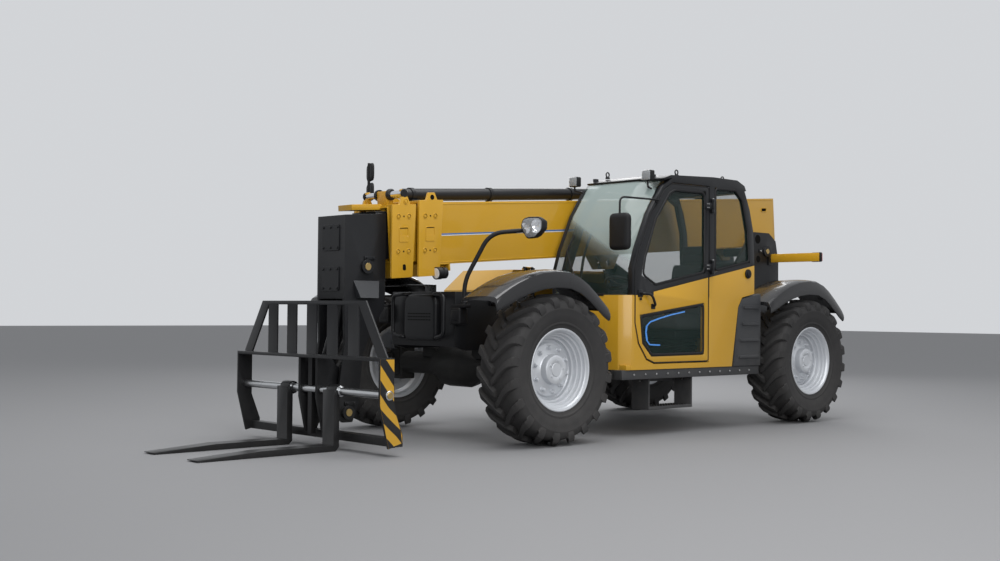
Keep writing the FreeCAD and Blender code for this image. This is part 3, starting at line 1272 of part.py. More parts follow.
left_head = plate("mirror_head_left", "front", mirror_outline(1094, 109, 1545, 1851, 34),
                  bay(-775), bay(-725))
right_pole = pipe("mirror_pole_right", [(230, -760, 1660), (230, -1000, 1720),
                                        (230, -1000, 2340)], 13, 60)
heads = []
for k, height in enumerate((2005, 2180)):
    head_plate = plate("mirror_head_right_%d" % k, "front", mirror_outline(0, 100, 0, 160, 26),
                       -12, 12)
    turned_head = group("mirror_turned_%d" % k, [head_plate])
    turned_head.Placement = FreeCAD.Placement(V(0, 0, 0), FreeCAD.Rotation(V(0, 0, 1), -22))
    place(turned_head, 214, -1006, height)
    heads.append(turned_head)
node("poles_and_mirrors", group("poles_and_mirrors_body", [
    lamp_pole, fuse("mirror_left", [left_arm, left_head]),
    fuse("mirror_right", [mirrored("lamp_pole_right", lamp_pole), right_pole] + heads)]))

# Lamps on the cab roof and on the arms at the rear.
small_lamps = [
    bay_box("roof_lamp_" + name, (along - 38, along + 38), (across - 50, across + 50), (2222, 2310))
    for name, along, across in ROOF_LAMPS]
rear_lamp = box("rear_lamp_left", (pivot[0] - 130, pivot[0] - 82), (790, 900), (1560, 1660))
node("lamps", group("lamps_body", small_lamps + [
    lamp_bored, mirrored("headlamp_right", lamp_bored),
    rear_lamp, mirrored("rear_lamp_right", rear_lamp)]))

# Counterweight across the tail of the frame, with the towing jaw.
tail_front = frame_rear
tail_rear = -rear_reach
COUNTERWEIGHT_SIDE = [
    (tail_rear + 20, 640), (tail_rear, 700), (tail_rear, 1000), (tail_rear + 60, 1110),
    (tail_front, 1110), (tail_front, 640)]
weight = plate("counterweight_block", "side", COUNTERWEIGHT_SIDE, -880, 880)
recess = box("counterweight_recess", (tail_rear - 10, tail_rear + 100), (-90, 90), (640, 1120))
jaw = cut("towing_jaw", box("towing_jaw_block", (tail_rear, tail_front), (-70, 70), (540, 641)),
          box("towing_jaw_mouth", (tail_rear - 10, tail_rear + 90), (-80, 80), (570, 610)))
jaw_bore = rod("towing_pin_bore", "z", 20, (tail_rear + 50, 0, 500), 200)
node("counterweight", cut("counterweight_body", fuse("counterweight_whole", [
    cut("counterweight_recessed", weight, recess), jaw]), jaw_bore))

# Every object must be sound before anything is written.
doc.recompute()
for thing in doc.Objects:
    if "Invalid" in thing.State or "Error" in thing.State:
        raise RuntimeError("%s failed: %s" % (thing.Name, thing.State))
for thing in NODES:
    if thing.Shape.isNull() or not thing.Shape.isValid():
        raise RuntimeError("%s has no sound shape" % thing.Label)
for thing in NODES:
    thing.Shape.exportStep("parts/%s.step" % thing.Label)
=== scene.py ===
import bmesh
import bpy
import math
from mathutils import Matrix, Vector


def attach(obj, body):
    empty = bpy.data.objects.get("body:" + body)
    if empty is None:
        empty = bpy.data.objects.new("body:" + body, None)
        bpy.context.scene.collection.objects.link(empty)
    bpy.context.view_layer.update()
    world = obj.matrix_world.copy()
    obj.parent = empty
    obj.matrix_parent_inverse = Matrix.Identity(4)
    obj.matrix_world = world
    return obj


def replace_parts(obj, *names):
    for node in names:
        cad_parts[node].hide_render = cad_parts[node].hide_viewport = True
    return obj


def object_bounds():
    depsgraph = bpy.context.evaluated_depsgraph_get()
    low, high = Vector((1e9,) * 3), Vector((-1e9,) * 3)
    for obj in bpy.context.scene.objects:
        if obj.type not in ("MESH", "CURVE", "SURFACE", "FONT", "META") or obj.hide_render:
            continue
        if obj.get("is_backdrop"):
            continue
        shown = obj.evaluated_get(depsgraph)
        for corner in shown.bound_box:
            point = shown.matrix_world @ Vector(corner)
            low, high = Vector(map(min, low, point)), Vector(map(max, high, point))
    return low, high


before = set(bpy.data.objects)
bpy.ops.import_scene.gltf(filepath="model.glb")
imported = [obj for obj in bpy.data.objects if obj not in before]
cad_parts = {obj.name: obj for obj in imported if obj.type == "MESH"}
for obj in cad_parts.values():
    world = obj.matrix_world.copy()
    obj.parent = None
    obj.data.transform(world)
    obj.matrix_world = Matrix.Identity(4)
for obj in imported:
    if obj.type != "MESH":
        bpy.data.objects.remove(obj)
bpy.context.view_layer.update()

# Camera
# It stands on the driver's side ahead of the machine, a metre above the ground, and looks back
# along it. Places in this file are metres from the middle of the machine on the ground.
front_axle = 0.7875
rear_axle = front_axle - 3.43
eye = Vector((front_axle + 6.983, 7.942, 1.040))
heading = math.radians(226.94)
look_up = math.radians(1.38)
roll = 0.0087
picture_width = 1000
focal_pixels = 1258.26
film = 36.0

camera_data = bpy.data.cameras.new("camera")
camera_data.sensor_width = film
camera_data.lens = film * focal_pixels / picture_width
camera_data.clip_end = 200
camera = bpy.data.objects.new("camera", camera_data)
bpy.context.scene.collection.objects.link(camera)
ahead = Vector((math.cos(look_up) * math.cos(heading), math.cos(look_up) * math.sin(heading),
                math.sin(look_up)))
camera.matrix_world = (Matrix.Translation(eye) @ ahead.to_track_quat("-Z", "Y").to_matrix().to_4x4()
                       @ Matrix.Rotation(roll, 4, "Z"))
bpy.context.scene.camera = camera

# Studio: floor, wide soft lamps and a pale surround
# The floor is one smooth grey sheet. A large lamp hangs over the machine and a second, on the
# driver's side, opens up the shadows.
floor_half = 60
bpy.ops.mesh.primitive_plane_add(size=2 * floor_half, location=(0, 0, 0))
floor = bpy.context.object
floor.name = "studio_floor"
floor_grey = (0.205, 0.205, 0.21, 1)
floor_paint = bpy.data.materials.new("studio_floor_paint")
floor_paint.use_nodes = True
floor_shader = floor_paint.node_tree.nodes["Principled BSDF"]
floor_shader.inputs["Base Color"].default_value = floor_grey
floor_shader.inputs["Roughness"].default_value = 0.75
floor.data.materials.append(floor_paint)
floor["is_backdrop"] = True

surround_colour = (0.86, 0.88, 0.91, 1)
surround_strength = 0.75
surround = bpy.data.worlds.new("pale_surround")
bpy.context.scene.world = surround
surround.use_nodes = True
surround.node_tree.nodes["Background"].inputs["Color"].default_value = surround_colour
surround.node_tree.nodes["Background"].inputs["Strength"].default_value = surround_strength
bpy.context.scene.view_settings.view_transform = "Standard"
STUDIO_LAMPS = [
    # name, place, size, watts
    ("overhead", (0.5, 1.5, 7.5), 7.0, 520),
    ("driver_side", (4.5, 8.5, 4.2), 5.0, 360),
    ("tail_side", (-7.5, -6.0, 5.0), 5.0, 260),
]
for name, place, width, watts in STUDIO_LAMPS:
    lamp_data = bpy.data.lights.new(name, "AREA")
    lamp_data.shape = "SQUARE"
    lamp_data.size = width
    lamp_data.energy = watts
    lamp = bpy.data.objects.new(name, lamp_data)
    lamp.location = place
    lamp.rotation_euler = (Vector((0, 0, 0.8)) - Vector(place)).to_track_quat("-Z", "Y").to_euler()
    bpy.context.scene.collection.objects.link(lamp)


# Frame, boom tower and engine tray
# Thick plates cut to shape and welded, sprayed with a satin black that shows a faint orange peel
# and a film of yard dust low down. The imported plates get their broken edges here.
def link(nodes, out, into):
    nodes.id_data.links.new(out, into)


def coat(name, colour, roughness, metal=0.0, gloss_coat=0.0, shade=0.10, grain=90.0, relief=0.0006,
         dust=0.0, dust_height=1.0, dust_colour=(0.23, 0.21, 0.18), mirror=0.5):
    """A sprayed or cast finish: cloudy colour, fine relief and, low down, a film of dust."""
    material = bpy.data.materials.new(name)
    material.use_nodes = True
    nodes = material.node_tree.nodes
    shader = nodes["Principled BSDF"]
    shader.inputs["Metallic"].default_value = metal
    shader.inputs["Specular IOR Level"].default_value = mirror
    shader.inputs["Coat Weight"].default_value = gloss_coat
    shader.inputs["Coat Roughness"].default_value = 0.06
    place = nodes.new("ShaderNodeTexCoord").outputs["Object"]
    cloud = nodes.new("ShaderNodeTexNoise")
    cloud.inputs["Scale"].default_value = 2.6
    cloud.inputs["Detail"].default_value = 6
    link(nodes, place, cloud.inputs["Vector"])
    tone = nodes.new("ShaderNodeMix")
    tone.data_type = "RGBA"
    tone.inputs[6].default_value = [c * (1 - shade) for c in colour] + [1]
    tone.inputs[7].default_value = [min(1, c * (1 + shade)) for c in colour] + [1]
    link(nodes, cloud.outputs["Fac"], tone.inputs[0])
    shine = nodes.new("ShaderNodeMapRange")
    shine.inputs["To Min"].default_value = max(0.03, roughness - 0.07)
    shine.inputs["To Max"].default_value = roughness + 0.09
    link(nodes, cloud.outputs["Fac"], shine.inputs["Value"])
    colour_out, rough_out = tone.outputs[2], shine.outputs[0]
    if dust:
        height = nodes.new("ShaderNodeSeparateXYZ")
        link(nodes, place, height.inputs[0])
        low = nodes.new("ShaderNodeMapRange")
        low.inputs["From Min"].default_value = 0.0
        low.inputs["From Max"].default_value = dust_height
        low.inputs["To Min"].default_value = dust
        low.inputs["To Max"].default_value = dust * 0.12
        link(nodes, height.outputs["Z"], low.inputs["Value"])
        speck = nodes.new("ShaderNodeTexNoise")
        speck.inputs["Scale"].default_value = 14
        speck.inputs["Detail"].default_value = 8
        link(nodes, place, speck.inputs["Vector"])
        amount = nodes.new("ShaderNodeMath")
        amount.operation = "MULTIPLY"
        link(nodes, low.outputs[0], amount.inputs[0])
        link(nodes, speck.outputs["Fac"], amount.inputs[1])
        film_colour = nodes.new("ShaderNodeMix")
        film_colour.data_type = "RGBA"
        link(nodes, amount.outputs[0], film_colour.inputs[0])
        link(nodes, colour_out, film_colour.inputs[6])
        film_colour.inputs[7].default_value = list(dust_colour) + [1]
        film_rough = nodes.new("ShaderNodeMix")
        link(nodes, amount.outputs[0], film_rough.inputs[0])
        link(nodes, rough_out, film_rough.inputs[2])
        film_rough.inputs[3].default_value = 0.85
        colour_out, rough_out = film_colour.outputs[2], film_rough.outputs[0]
    link(nodes, colour_out, shader.inputs["Base Color"])
    link(nodes, rough_out, shader.inputs["Roughness"])
    fine = nodes.new("ShaderNodeTexNoise")
    fine.inputs["Scale"].default_value = grain
    fine.inputs["Detail"].default_value = 4
    link(nodes, place, fine.inputs["Vector"])
    bump = nodes.new("ShaderNodeBump")
    bump.inputs["Strength"].default_value = 0.6
    bump.inputs["Distance"].default_value = relief
    link(nodes, fine.outputs["Fac"], bump.inputs["Height"])
    link(nodes, bump.outputs[0], shader.inputs["Normal"])
    return material


def smooth_faces():
    """A node group that welds a mesh and shades it smooth except at real edges."""
    group = bpy.data.node_groups.new("smooth_faces", "GeometryNodeTree")
    group.interface.new_socket("Geometry", in_out="INPUT", socket_type="NodeSocketGeometry")
    group.interface.new_socket("Geometry", in_out="OUTPUT", socket_type="NodeSocketGeometry")
    nodes = group.nodes
    start = nodes.new("NodeGroupInput")
    end = nodes.new("NodeGroupOutput")
    angle = nodes.new("GeometryNodeInputMeshEdgeAngle")
    sharp = nodes.new("FunctionNodeCompare")
    sharp.data_type = "FLOAT"
    sharp.operation = "GREATER_THAN"
    sharp.inputs[1].default_value = math.radians(32)
    whole = nodes.new("GeometryNodeSetShadeSmooth")
    edges = nodes.new("GeometryNodeSetShadeSmooth")
    edges.domain = "EDGE"
    edges.inputs["Shade Smooth"].default_value = False
    link(nodes, start.outputs[0], whole.inputs["Geometry"])
    link(nodes, whole.outputs[0], edges.inputs["Geometry"])
    link(nodes, angle.outputs[0], sharp.inputs[0])
    link(nodes, sharp.outputs[0], edges.inputs["Selection"])
    link(nodes, edges.outputs[0], end.inputs[0])
    return group


smoothing = smooth_faces()


def finish(node, material, edge=0.003):
    """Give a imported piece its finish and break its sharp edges."""
    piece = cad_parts[node]
    piece.data.materials.clear()
    piece.data.materials.append(material)
    joined = piece.modifiers.new("joined_faces", "WELD")
    joined.merge_threshold = 0.0001
    if edge:
        broken = piece.modifiers.new("broken_edges", "BEVEL")
        broken.width = edge
        broken.segments = 2
        broken.limit_method = "ANGLE"
        broken.angle_limit = math.radians(40)
        broken.use_clamp_overlap = True
    smooth = piece.modifiers.new("smooth_faces", "NODES")
    smooth.node_group = smoothing
    return piece


satin_black = coat("satin_black", (0.0085, 0.0090, 0.0105), 0.36, dust=0.08, dust_height=0.9,
                   mirror=0.30)
for name in ("chassis_frame", "boom_tower", "engine_tray", "counterweight"):
    finish(name, satin_black, 0.004)
finish("engine_block", satin_black, 0.0)

# Axles and steering knuckles
# Rough castings in the same black, dusty, with the machined kingpins through their yokes.
axle_black = coat("axle_casting", (0.010, 0.0105, 0.011), 0.50, grain=240, relief=0.0016,
                  dust=0.20, dust_height=0.9, mirror=0.25)
for name in ("front_axle", "rear_axle", "knuckle_front_left", "knuckle_front_right",
             "knuckle_rear_left", "knuckle_rear_right"):
    finish(name, axle_black, 0.005)

# Wheels: a pressed steel rim with stepped bead rings, a dished disc, nuts and the planetary hub
# They are sprayed silver and bolted to the hub. Each rim turns with its tyre.
WHEELS = [
    # name, axle, side of the machine
    ("front_left", front_axle, 1), ("front_right", front_axle, -1),
    ("rear_left", rear_axle, 1), ("rear_right", rear_axle, -1),
]
wheel_height = 0.5875
half_track = 1.003
wheel_steps = 96
silver = coat("silver_wheel_paint", (0.60, 0.62, 0.65), 0.34, metal=0.40, grain=160, relief=0.0003,
              dust=0.22, dust_height=1.2)
RIM_SECTION = [
    # radius, place across the wheel from its middle, outwards
    (0.052, 0.105), (0.052, 0.112), (0.060, 0.118), (0.104, 0.118), (0.112, 0.113),
    (0.116, 0.100), (0.119, 0.062), (0.128, 0.054), (0.150, 0.051), (0.158, 0.044),
    (0.200, 0.041), (0.210, 0.034), (0.217, 0.016), (0.232, 0.012), (0.238, 0.018),
    (0.241, 0.044), (0.254, 0.048), (0.258, 0.054), (0.261, 0.080), (0.273, 0.084),
    (0.276, 0.090), (0.279, 0.114), (0.289, 0.118), (0.292, 0.124), (0.294, 0.142),
    (0.302, 0.150), (0.306, 0.162), (0.316, 0.166), (0.325, 0.162), (0.327, 0.154),
    (0.318, 0.148), (0.302, 0.146),
]
RIM_BACK = [
    (0.302, -0.146), (0.318, -0.148), (0.327, -0.154), (0.324, -0.163), (0.306, -0.165),
    (0.292, -0.160), (0.286, -0.110), (0.262, -0.090), (0.252, -0.020), (0.238, 0.006),
    (0.120, 0.012), (0.118, -0.010), (0.052, -0.010),
]


def turned(mesh, section, steps):
    """A closed section of (radius, place across) spun about the wheel's own axis."""
    rings = []
    for k in range(steps):
        a = 2 * math.pi * k / steps
        rings.append([mesh.verts.new((r * math.cos(a), y, r * math.sin(a))) for r, y in section])
    count = len(section)
    for k in range(steps):
        here, there = rings[k], rings[(k + 1) % steps]
        for j in range(count):
            other = (j + 1) % count
            mesh.faces.new((here[j], there[j], there[other], here[other]))


def hexagon(mesh, centre, axis, across, depth):
    """A nut or bolt head with a bevelled top, standing on centre along axis."""
    axis = Vector(axis).normalized()
    side = axis.orthogonal().normalized()
    other = axis.cross(side)
    rings = []
    for reach, wide in ((0.0, 1.0), (0.78 * depth, 1.0), (depth, 0.80)):
        ring = []
        for k in range(6):
            a = math.pi * k / 3
            arm = side * math.cos(a) + other * math.sin(a)
            ring.append(mesh.verts.new(Vector(centre) + axis * reach + arm * wide * across / 2))
        rings.append(ring)
    for low, high in zip(rings, rings[1:]):
        for k in range(6):
            mesh.faces.new((low[k], low[(k + 1) % 6], high[(k + 1) % 6], high[k]))
    mesh.faces.new(rings[-1])


def disc(mesh, centre, axis, radius, depth, steps=24, bevel=0.15):
    """A round boss with a bevelled rim, standing on centre along axis."""
    axis = Vector(axis).normalized()
    side = axis.orthogonal().normalized()
    other = axis.cross(side)
    rings = []
    trim = bevel * min(depth, radius)
    for reach, wide in ((0.0, radius), (depth - trim, radius), (depth, radius - trim)):
        ring = []
        for k in range(steps):
            a = 2 * math.pi * k / steps
            ring.append(mesh.verts.new(Vector(centre) + axis * reach
                                       + (side * math.cos(a) + other * math.sin(a)) * wide))
        rings.append(ring)
    for low, high in zip(rings, rings[1:]):
        for k in range(steps):
            mesh.faces.new((low[k], low[(k + 1) % steps], high[(k + 1) % steps], high[k]))
    mesh.faces.new(rings[-1])


def made(name, mesh, material, body, move=None, sharp=38):
    """Turn a mesh into a finished piece on its body."""
    if move is not None:
        bmesh.ops.transform(mesh, matrix=move, verts=mesh.verts)
    bmesh.ops.recalc_face_normals(mesh, faces=mesh.faces)
    data = bpy.data.meshes.new(name)
    mesh.to_mesh(data)
    mesh.free()
    data.materials.append(material)
    data.shade_smooth()
    data.set_sharp_from_angle(angle=math.radians(sharp))
    piece = bpy.data.objects.new(name, data)
    bpy.context.scene.collection.objects.link(piece)
    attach(piece, body)
    return piece


NUTS = 10
nut_circle = 0.174
hub_bolts = 5
for name, along, side in WHEELS:
    mesh = bmesh.new()
    turned(mesh, RIM_SECTION + RIM_BACK, wheel_steps)
    for k in range(NUTS):
        a = 2 * math.pi * k / NUTS + 0.2
        spot = (nut_circle * math.cos(a), 0.042, nut_circle * math.sin(a))
        disc(mesh, spot, (0, 1, 0), 0.021, 0.006)
        hexagon(mesh, spot, (0, 1, 0), 0.032, 0.026)
        disc(mesh, spot, (0, 1, 0), 0.010, 0.036, 12)
    for k in range(hub_bolts):
        a = 2 * math.pi * k / hub_bolts + 0.5
        hexagon(mesh, (0.074 * math.cos(a), 0.117, 0.074 * math.sin(a)), (0, 1, 0), 0.017, 0.009)
    disc(mesh, (0, 0.1, 0), (0, 1, 0), 0.0525, 0.0185, 32)
    move = Matrix.Translation((along, side * half_track, wheel_height))
    if side < 0:
        move = move @ Matrix.Rotation(math.pi, 4, "Z")
    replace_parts(made("wheel_disc_" + name, mesh, silver, "wheel_" + name, move),
                "rim_" + name)

# Tyres
# Wide cross-ply tyres with long bars that slant from the middle of the tread over the shoulder,
# each half staggered by half a bar. The rubber is dark grey with a film of pale dust, heaviest low
# down.
BARS = 20
CASING_HALF = [
    # radius, place across: from the bead over the sidewall to the middle of the tread
    (0.300, 0.146), (0.312, 0.158), (0.324, 0.164), (0.336, 0.166), (0.350, 0.172), (0.356, 0.180),
    (0.364, 0.182), (0.372, 0.180), (0.400, 0.190), (0.432, 0.196), (0.462, 0.197), (0.470, 0.199),
    (0.476, 0.1995), (0.484, 0.197), (0.500, 0.193), (0.518, 0.186), (0.532, 0.174), (0.542, 0.150),
    (0.547, 0.110), (0.5495, 0.055), (0.5505, 0.0),
]
BAR_PATH = [
    # share along the bar, place across, height over the casing's middle radius, half width
    (0.00, -0.008, 0.5865, 0.024), (0.10, 0.022, 0.5870, 0.025), (0.30, 0.062, 0.5862, 0.026),
    (0.50, 0.100, 0.5840, 0.028), (0.70, 0.136, 0.5800, 0.031), (0.84, 0.166, 0.5730, 0.034),
    (0.94, 0.188, 0.5610, 0.036), (1.00, 0.2005, 0.5400, 0.036), (1.06, 0.2015, 0.5080, 0.034),
    (1.10, 0.1985, 0.4860, 0.030),
]
bar_swing = 0.30
tyre_steps = 128
shoulder = 13  # the point of CASING_HALF from which the tread's crown is read


def casing_radius_at(across):
    """How far the casing's tread stands from the axle at a place across it."""
    best = CASING_HALF[-1][0]
    for (r0, y0), (r1, y1) in zip(CASING_HALF[shoulder:], CASING_HALF[shoulder + 1:]):
        if y1 <= abs(across) <= y0:
            best = r0 + (r1 - r0) * (y0 - abs(across)) / (y0 - y1)
    return best


def tread_bar(mesh, angle, side):
    """One bar: it starts beside the middle, kinks, widens and runs down over the shoulder."""
    rings = []
    for share, across, top, half in BAR_PATH:
        bend = bar_swing * (min(share, 1.0) + 0.10 * math.sin(math.pi * min(share, 1.0)) - 0.5)
        turn = angle + bend
        down = share > 0.97
        foot = top - 0.03 if down else casing_radius_at(min(across, 0.19)) - 0.004
        inward = 0.012 if down else 0.0
        ring = []
        for spread, radius, shift in ((-1.22, foot, -inward), (-0.94, top - 0.004, 0.0),
                                      (-0.80, top, 0.0), (0.80, top, 0.0), (0.94, top - 0.004, 0.0),
                                      (1.22, foot, -inward)):
            a = turn + spread * half / top
            y = side * (across + shift - (0.010 if down and radius == foot else 0.0))
            ring.append(mesh.verts.new((radius * math.cos(a), y, radius * math.sin(a))))
        rings.append(ring)
    for low, high in zip(rings, rings[1:]):
        for k in range(5):
            mesh.faces.new((low[k], low[k + 1], high[k + 1], high[k]))
    mesh.faces.new(rings[0])
    mesh.faces.new(rings[-1])


rubber = coat("tyre_rubber", (0.028, 0.0275, 0.028), 0.66, shade=0.25, grain=420, relief=0.0010,
              dust=0.26, dust_height=1.3, dust_colour=(0.13, 0.12, 0.11), mirror=0.25)
for name, along, side in WHEELS:
    mesh = bmesh.new()
    section = CASING_HALF + [(r, -y) for r, y in reversed(CASING_HALF[:-1])]
    turned(mesh, section, tyre_steps)
    for half, stagger in ((1, 0.0), (-1, 0.5)):
        for k in range(BARS):
            tread_bar(mesh, 2 * math.pi * (k + stagger) / BARS, half)
    move = Matrix.Translation((along, side * half_track, wheel_height))
    tyre = made("rubber_" + name, mesh, rubber, "wheel_" + name, move, 30)
    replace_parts(tyre, "tyre_" + name)

# Fenders
# Glossy black moulded covers over each wheel: a crowned top, a rolled edge along both sides and a
# deep turned lip outside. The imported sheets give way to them, their brackets come along.
fender_black = coat("fender_plastic", (0.0075, 0.0075, 0.0085), 0.24, gloss_coat=0.45, shade=0.2,
                    grain=30, relief=0.0004, dust=0.04, dust_height=1.5, mirror=0.35)
FENDER_CURVE = [
    # along from the wheel, height, depth of the outer lip
    (0.706, 1.122, 0.034), (0.700, 1.137, 0.052), (0.640, 1.173, 0.066), (0.560, 1.217, 0.076),
    (0.470, 1.260, 0.080), (0.350, 1.306, 0.086), (0.215, 1.340, 0.088), (0.070, 1.354, 0.088),
    (-0.075, 1.350, 0.088), (-0.190, 1.315, 0.090), (-0.280, 1.265, 0.092), (-0.375, 1.195, 0.092),
    (-0.455, 1.130, 0.086), (-0.510, 1.082, 0.070), (-0.524, 1.066, 0.048), (-0.530, 1.052, 0.020),
]
FENDER_ACROSS = [
    # place across from the middle plane, rise of the top there, share of the lip's depth
    (0.800, -0.026, 0.0), (0.806, -0.008, 0.0), (0.822, 0.000, 0.0), (0.880, 0.006, 0.0),
    (0.960, 0.010, 0.0), (1.050, 0.011, 0.0), (1.120, 0.008, 0.0), (1.166, 0.001, 0.0),
    (1.186, -0.010, 0.0), (1.197, -0.026, 0.15), (1.200, -0.040, 0.55), (1.1985, -0.046, 1.0),
    (1.190, -0.044, 1.0), (1.186, -0.036, 0.5), (1.176, -0.024, 0.0), (1.110, -0.009, 0.0),
    (0.960, -0.003, 0.0), (0.830, -0.012, 0.0), (0.812, -0.020, 0.0), (0.808, -0.030, 0.0),
]


def skin(mesh, rings):
    """Faces between closed rings of points, with the end rings filled."""
    made_rings = [[mesh.verts.new(p) for p in ring] for ring in rings]
    count = len(made_rings[0])
    for low, high in zip(made_rings, made_rings[1:]):
        for k in range(count):
            other = (k + 1) % count
            mesh.faces.new((low[k], low[other], high[other], high[k]))
    mesh.faces.new(made_rings[0])
    mesh.faces.new(made_rings[-1])


def block(mesh, low, high, trim=0.0, segments=2):
    """A block between two corners, its edges broken by trim."""
    corners = bmesh.ops.create_cube(mesh, size=1.0)["verts"]
    span = Vector(high) - Vector(low)
    middle = (Vector(high) + Vector(low)) / 2
    for corner in corners:
        corner.co = middle + Vector([c * s for c, s in zip(corner.co, span)])
    if trim:
        edges = list({edge for corner in corners for edge in corner.link_edges})
        bmesh.ops.bevel(mesh, geom=edges, offset=trim, segments=segments, profile=0.5,
                        affect="EDGES", clamp_overlap=True)


FENDER_BRACKET = [
    # a plate's near and far place across, its foot, its top
    (0.400, 0.412, 1.080, 1.260), (0.400, 1.100, 1.250, 1.262), (1.040, 1.052, 1.255, 1.342),
]
bracket_half = 0.060
for name, along, side in WHEELS:
    mesh = bmesh.new()
    skin(mesh, [[(a, side * y, z + rise - lip * share) for y, rise, share in FENDER_ACROSS]
                for a, z, lip in FENDER_CURVE])
    low_y, high_y = sorted((side * 0.86, side * 1.12))
    for rib in (-0.03, 0.03):
        block(mesh, (rib - 0.004, low_y, 1.300), (rib + 0.004, high_y, 1.340))
    for near, far, foot, top in FENDER_BRACKET:
        low_y, high_y = sorted((side * near, side * far))
        block(mesh, (-bracket_half, low_y, foot), (bracket_half, high_y, top), 0.003)
    for along_bolt in (-0.035, 0.035):
        for height in (1.105, 1.150, 1.200):
            hexagon(mesh, (along_bolt, side * 0.412, height), (0, side, 0), 0.022, 0.010)
        hexagon(mesh, (along_bolt, side * 0.95, 1.262), (0, 0, 1), 0.018, 0.008)
    cover = made("fender_cover_" + name, mesh, fender_black, "chassis",
                 Matrix.Translation((along, 0, 0)), 35)
    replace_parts(cover, "fenders")

# Cab: black pillars, yellow lower panels, tinted panes
# The pillars and door frame are black sprayed tube and sheet, the panels yellow, and the panes
# are bonded in with a dark rubber edge.
cab_black = coat("cab_black", (0.0095, 0.0100, 0.0115), 0.32, shade=0.12, grain=150, mirror=0.32)
machine_yellow = coat("machine_yellow", (0.50, 0.272, 0.014), 0.30, gloss_coat=0.30, shade=0.05,
                      grain=60, relief=0.0004, dust=0.16, dust_height=1.3,
                      dust_colour=(0.40, 0.31, 0.15), mirror=0.35)
trim_black = coat("rubber_trim", (0.0085, 0.0085, 0.0095), 0.55, shade=0.15, grain=260, mirror=0.28)
bolt_steel = coat("bolt_steel", (0.33, 0.33, 0.33), 0.38, metal=1.0, shade=0.15, grain=300)
pin_brass = coat("pin_brass", (0.56, 0.40, 0.16), 0.34, metal=1.0, shade=0.12, grain=300)


# A pale band painted across the top of the front pane: a painted reflection of the sky.
painted_reflection_slope, painted_reflection_strength = 0.5, 0.62
PAINTED_REFLECTION_EDGES = [
    # where the painted sky reflection fades in: from, to; along, across and up the slope
    (front_axle - 1.262, front_axle - 1.235), (0.312, 0.330), (1.90, 2.02),
]


def pane_material(name, tint, clear, blend, band=None):
    """Tinted glass that shows what is behind it, and mirrors more at a flat angle. Given a colour,
    it also carries a painted sky reflection: a pale, more opaque band.
    """
    material = bpy.data.materials.new(name)
    material.use_nodes = True
    nodes = material.node_tree.nodes
    shader = nodes["Principled BSDF"]
    shader.inputs["Roughness"].default_value = 0.03
    shader.inputs["IOR"].default_value = 1.5
    place = nodes.new("ShaderNodeTexCoord").outputs["Object"]
    cloud = nodes.new("ShaderNodeTexNoise")
    cloud.inputs["Scale"].default_value = 1.7
    link(nodes, place, cloud.inputs["Vector"])
    tone = nodes.new("ShaderNodeMix")
    tone.data_type = "RGBA"
    tone.inputs[6].default_value = [c * 0.85 for c in tint] + [1]
    tone.inputs[7].default_value = [c * 1.2 for c in tint] + [1]
    link(nodes, cloud.outputs["Fac"], tone.inputs[0])
    link(nodes, tone.outputs[2], shader.inputs["Base Color"])
    glance = nodes.new("ShaderNodeLayerWeight")
    glance.inputs["Blend"].default_value = blend
    cover = nodes.new("ShaderNodeMapRange")
    cover.inputs["To Min"].default_value = 1 - clear
    cover.inputs["To Max"].default_value = 0.80
    link(nodes, glance.outputs["Fresnel"], cover.inputs["Value"])
    covered = cover.outputs[0]
    # Painted reflection: a pale band of sky colour, more opaque, across the pane's top.
    if band:
        spot = nodes.new("ShaderNodeSeparateXYZ")
        link(nodes, place, spot.inputs[0])
        slant = nodes.new("ShaderNodeMath")
        slant.operation = "MULTIPLY_ADD"
        link(nodes, spot.outputs["Y"], slant.inputs[0])
        slant.inputs[1].default_value = painted_reflection_slope
        link(nodes, spot.outputs["Z"], slant.inputs[2])
        share = None
        for out, (low, high) in zip((spot.outputs["X"], spot.outputs["Y"], slant.outputs[0]),
                                    PAINTED_REFLECTION_EDGES):
            step = nodes.new("ShaderNodeMapRange")
            step.inputs["From Min"].default_value = low
            step.inputs["From Max"].default_value = high
            step.inputs["To Max"].default_value = 1.0 if share else painted_reflection_strength
            link(nodes, out, step.inputs["Value"])
            if share is None:
                share = step.outputs[0]
                continue
            product = nodes.new("ShaderNodeMath")
            product.operation = "MULTIPLY"
            link(nodes, share, product.inputs[0])
            link(nodes, step.outputs[0], product.inputs[1])
            share = product.outputs[0]
        pale = nodes.new("ShaderNodeMix")
        pale.data_type = "RGBA"
        link(nodes, share, pale.inputs[0])
        link(nodes, tone.outputs[2], pale.inputs[6])
        pale.inputs[7].default_value = list(band) + [1]
        link(nodes, pale.outputs[2], shader.inputs["Base Color"])
        most = nodes.new("ShaderNodeMath")
        most.operation = "MAXIMUM"
        link(nodes, covered, most.inputs[0])
        link(nodes, share, most.inputs[1])
        covered = most.outputs[0]
    inside = nodes.new("ShaderNodeMix")
    link(nodes, nodes.new("ShaderNodeNewGeometry").outputs["Backfacing"], inside.inputs[0])
    link(nodes, covered, inside.inputs[2])
    inside.inputs[3].default_value = 0.0
    link(nodes, inside.outputs[0], shader.inputs["Alpha"])
    return material


glass_green, painted_sky_grey = (0.026, 0.047, 0.042), (0.52, 0.62, 0.60)
tinted = pane_material("tinted_glass", glass_green, 0.63, 0.24)
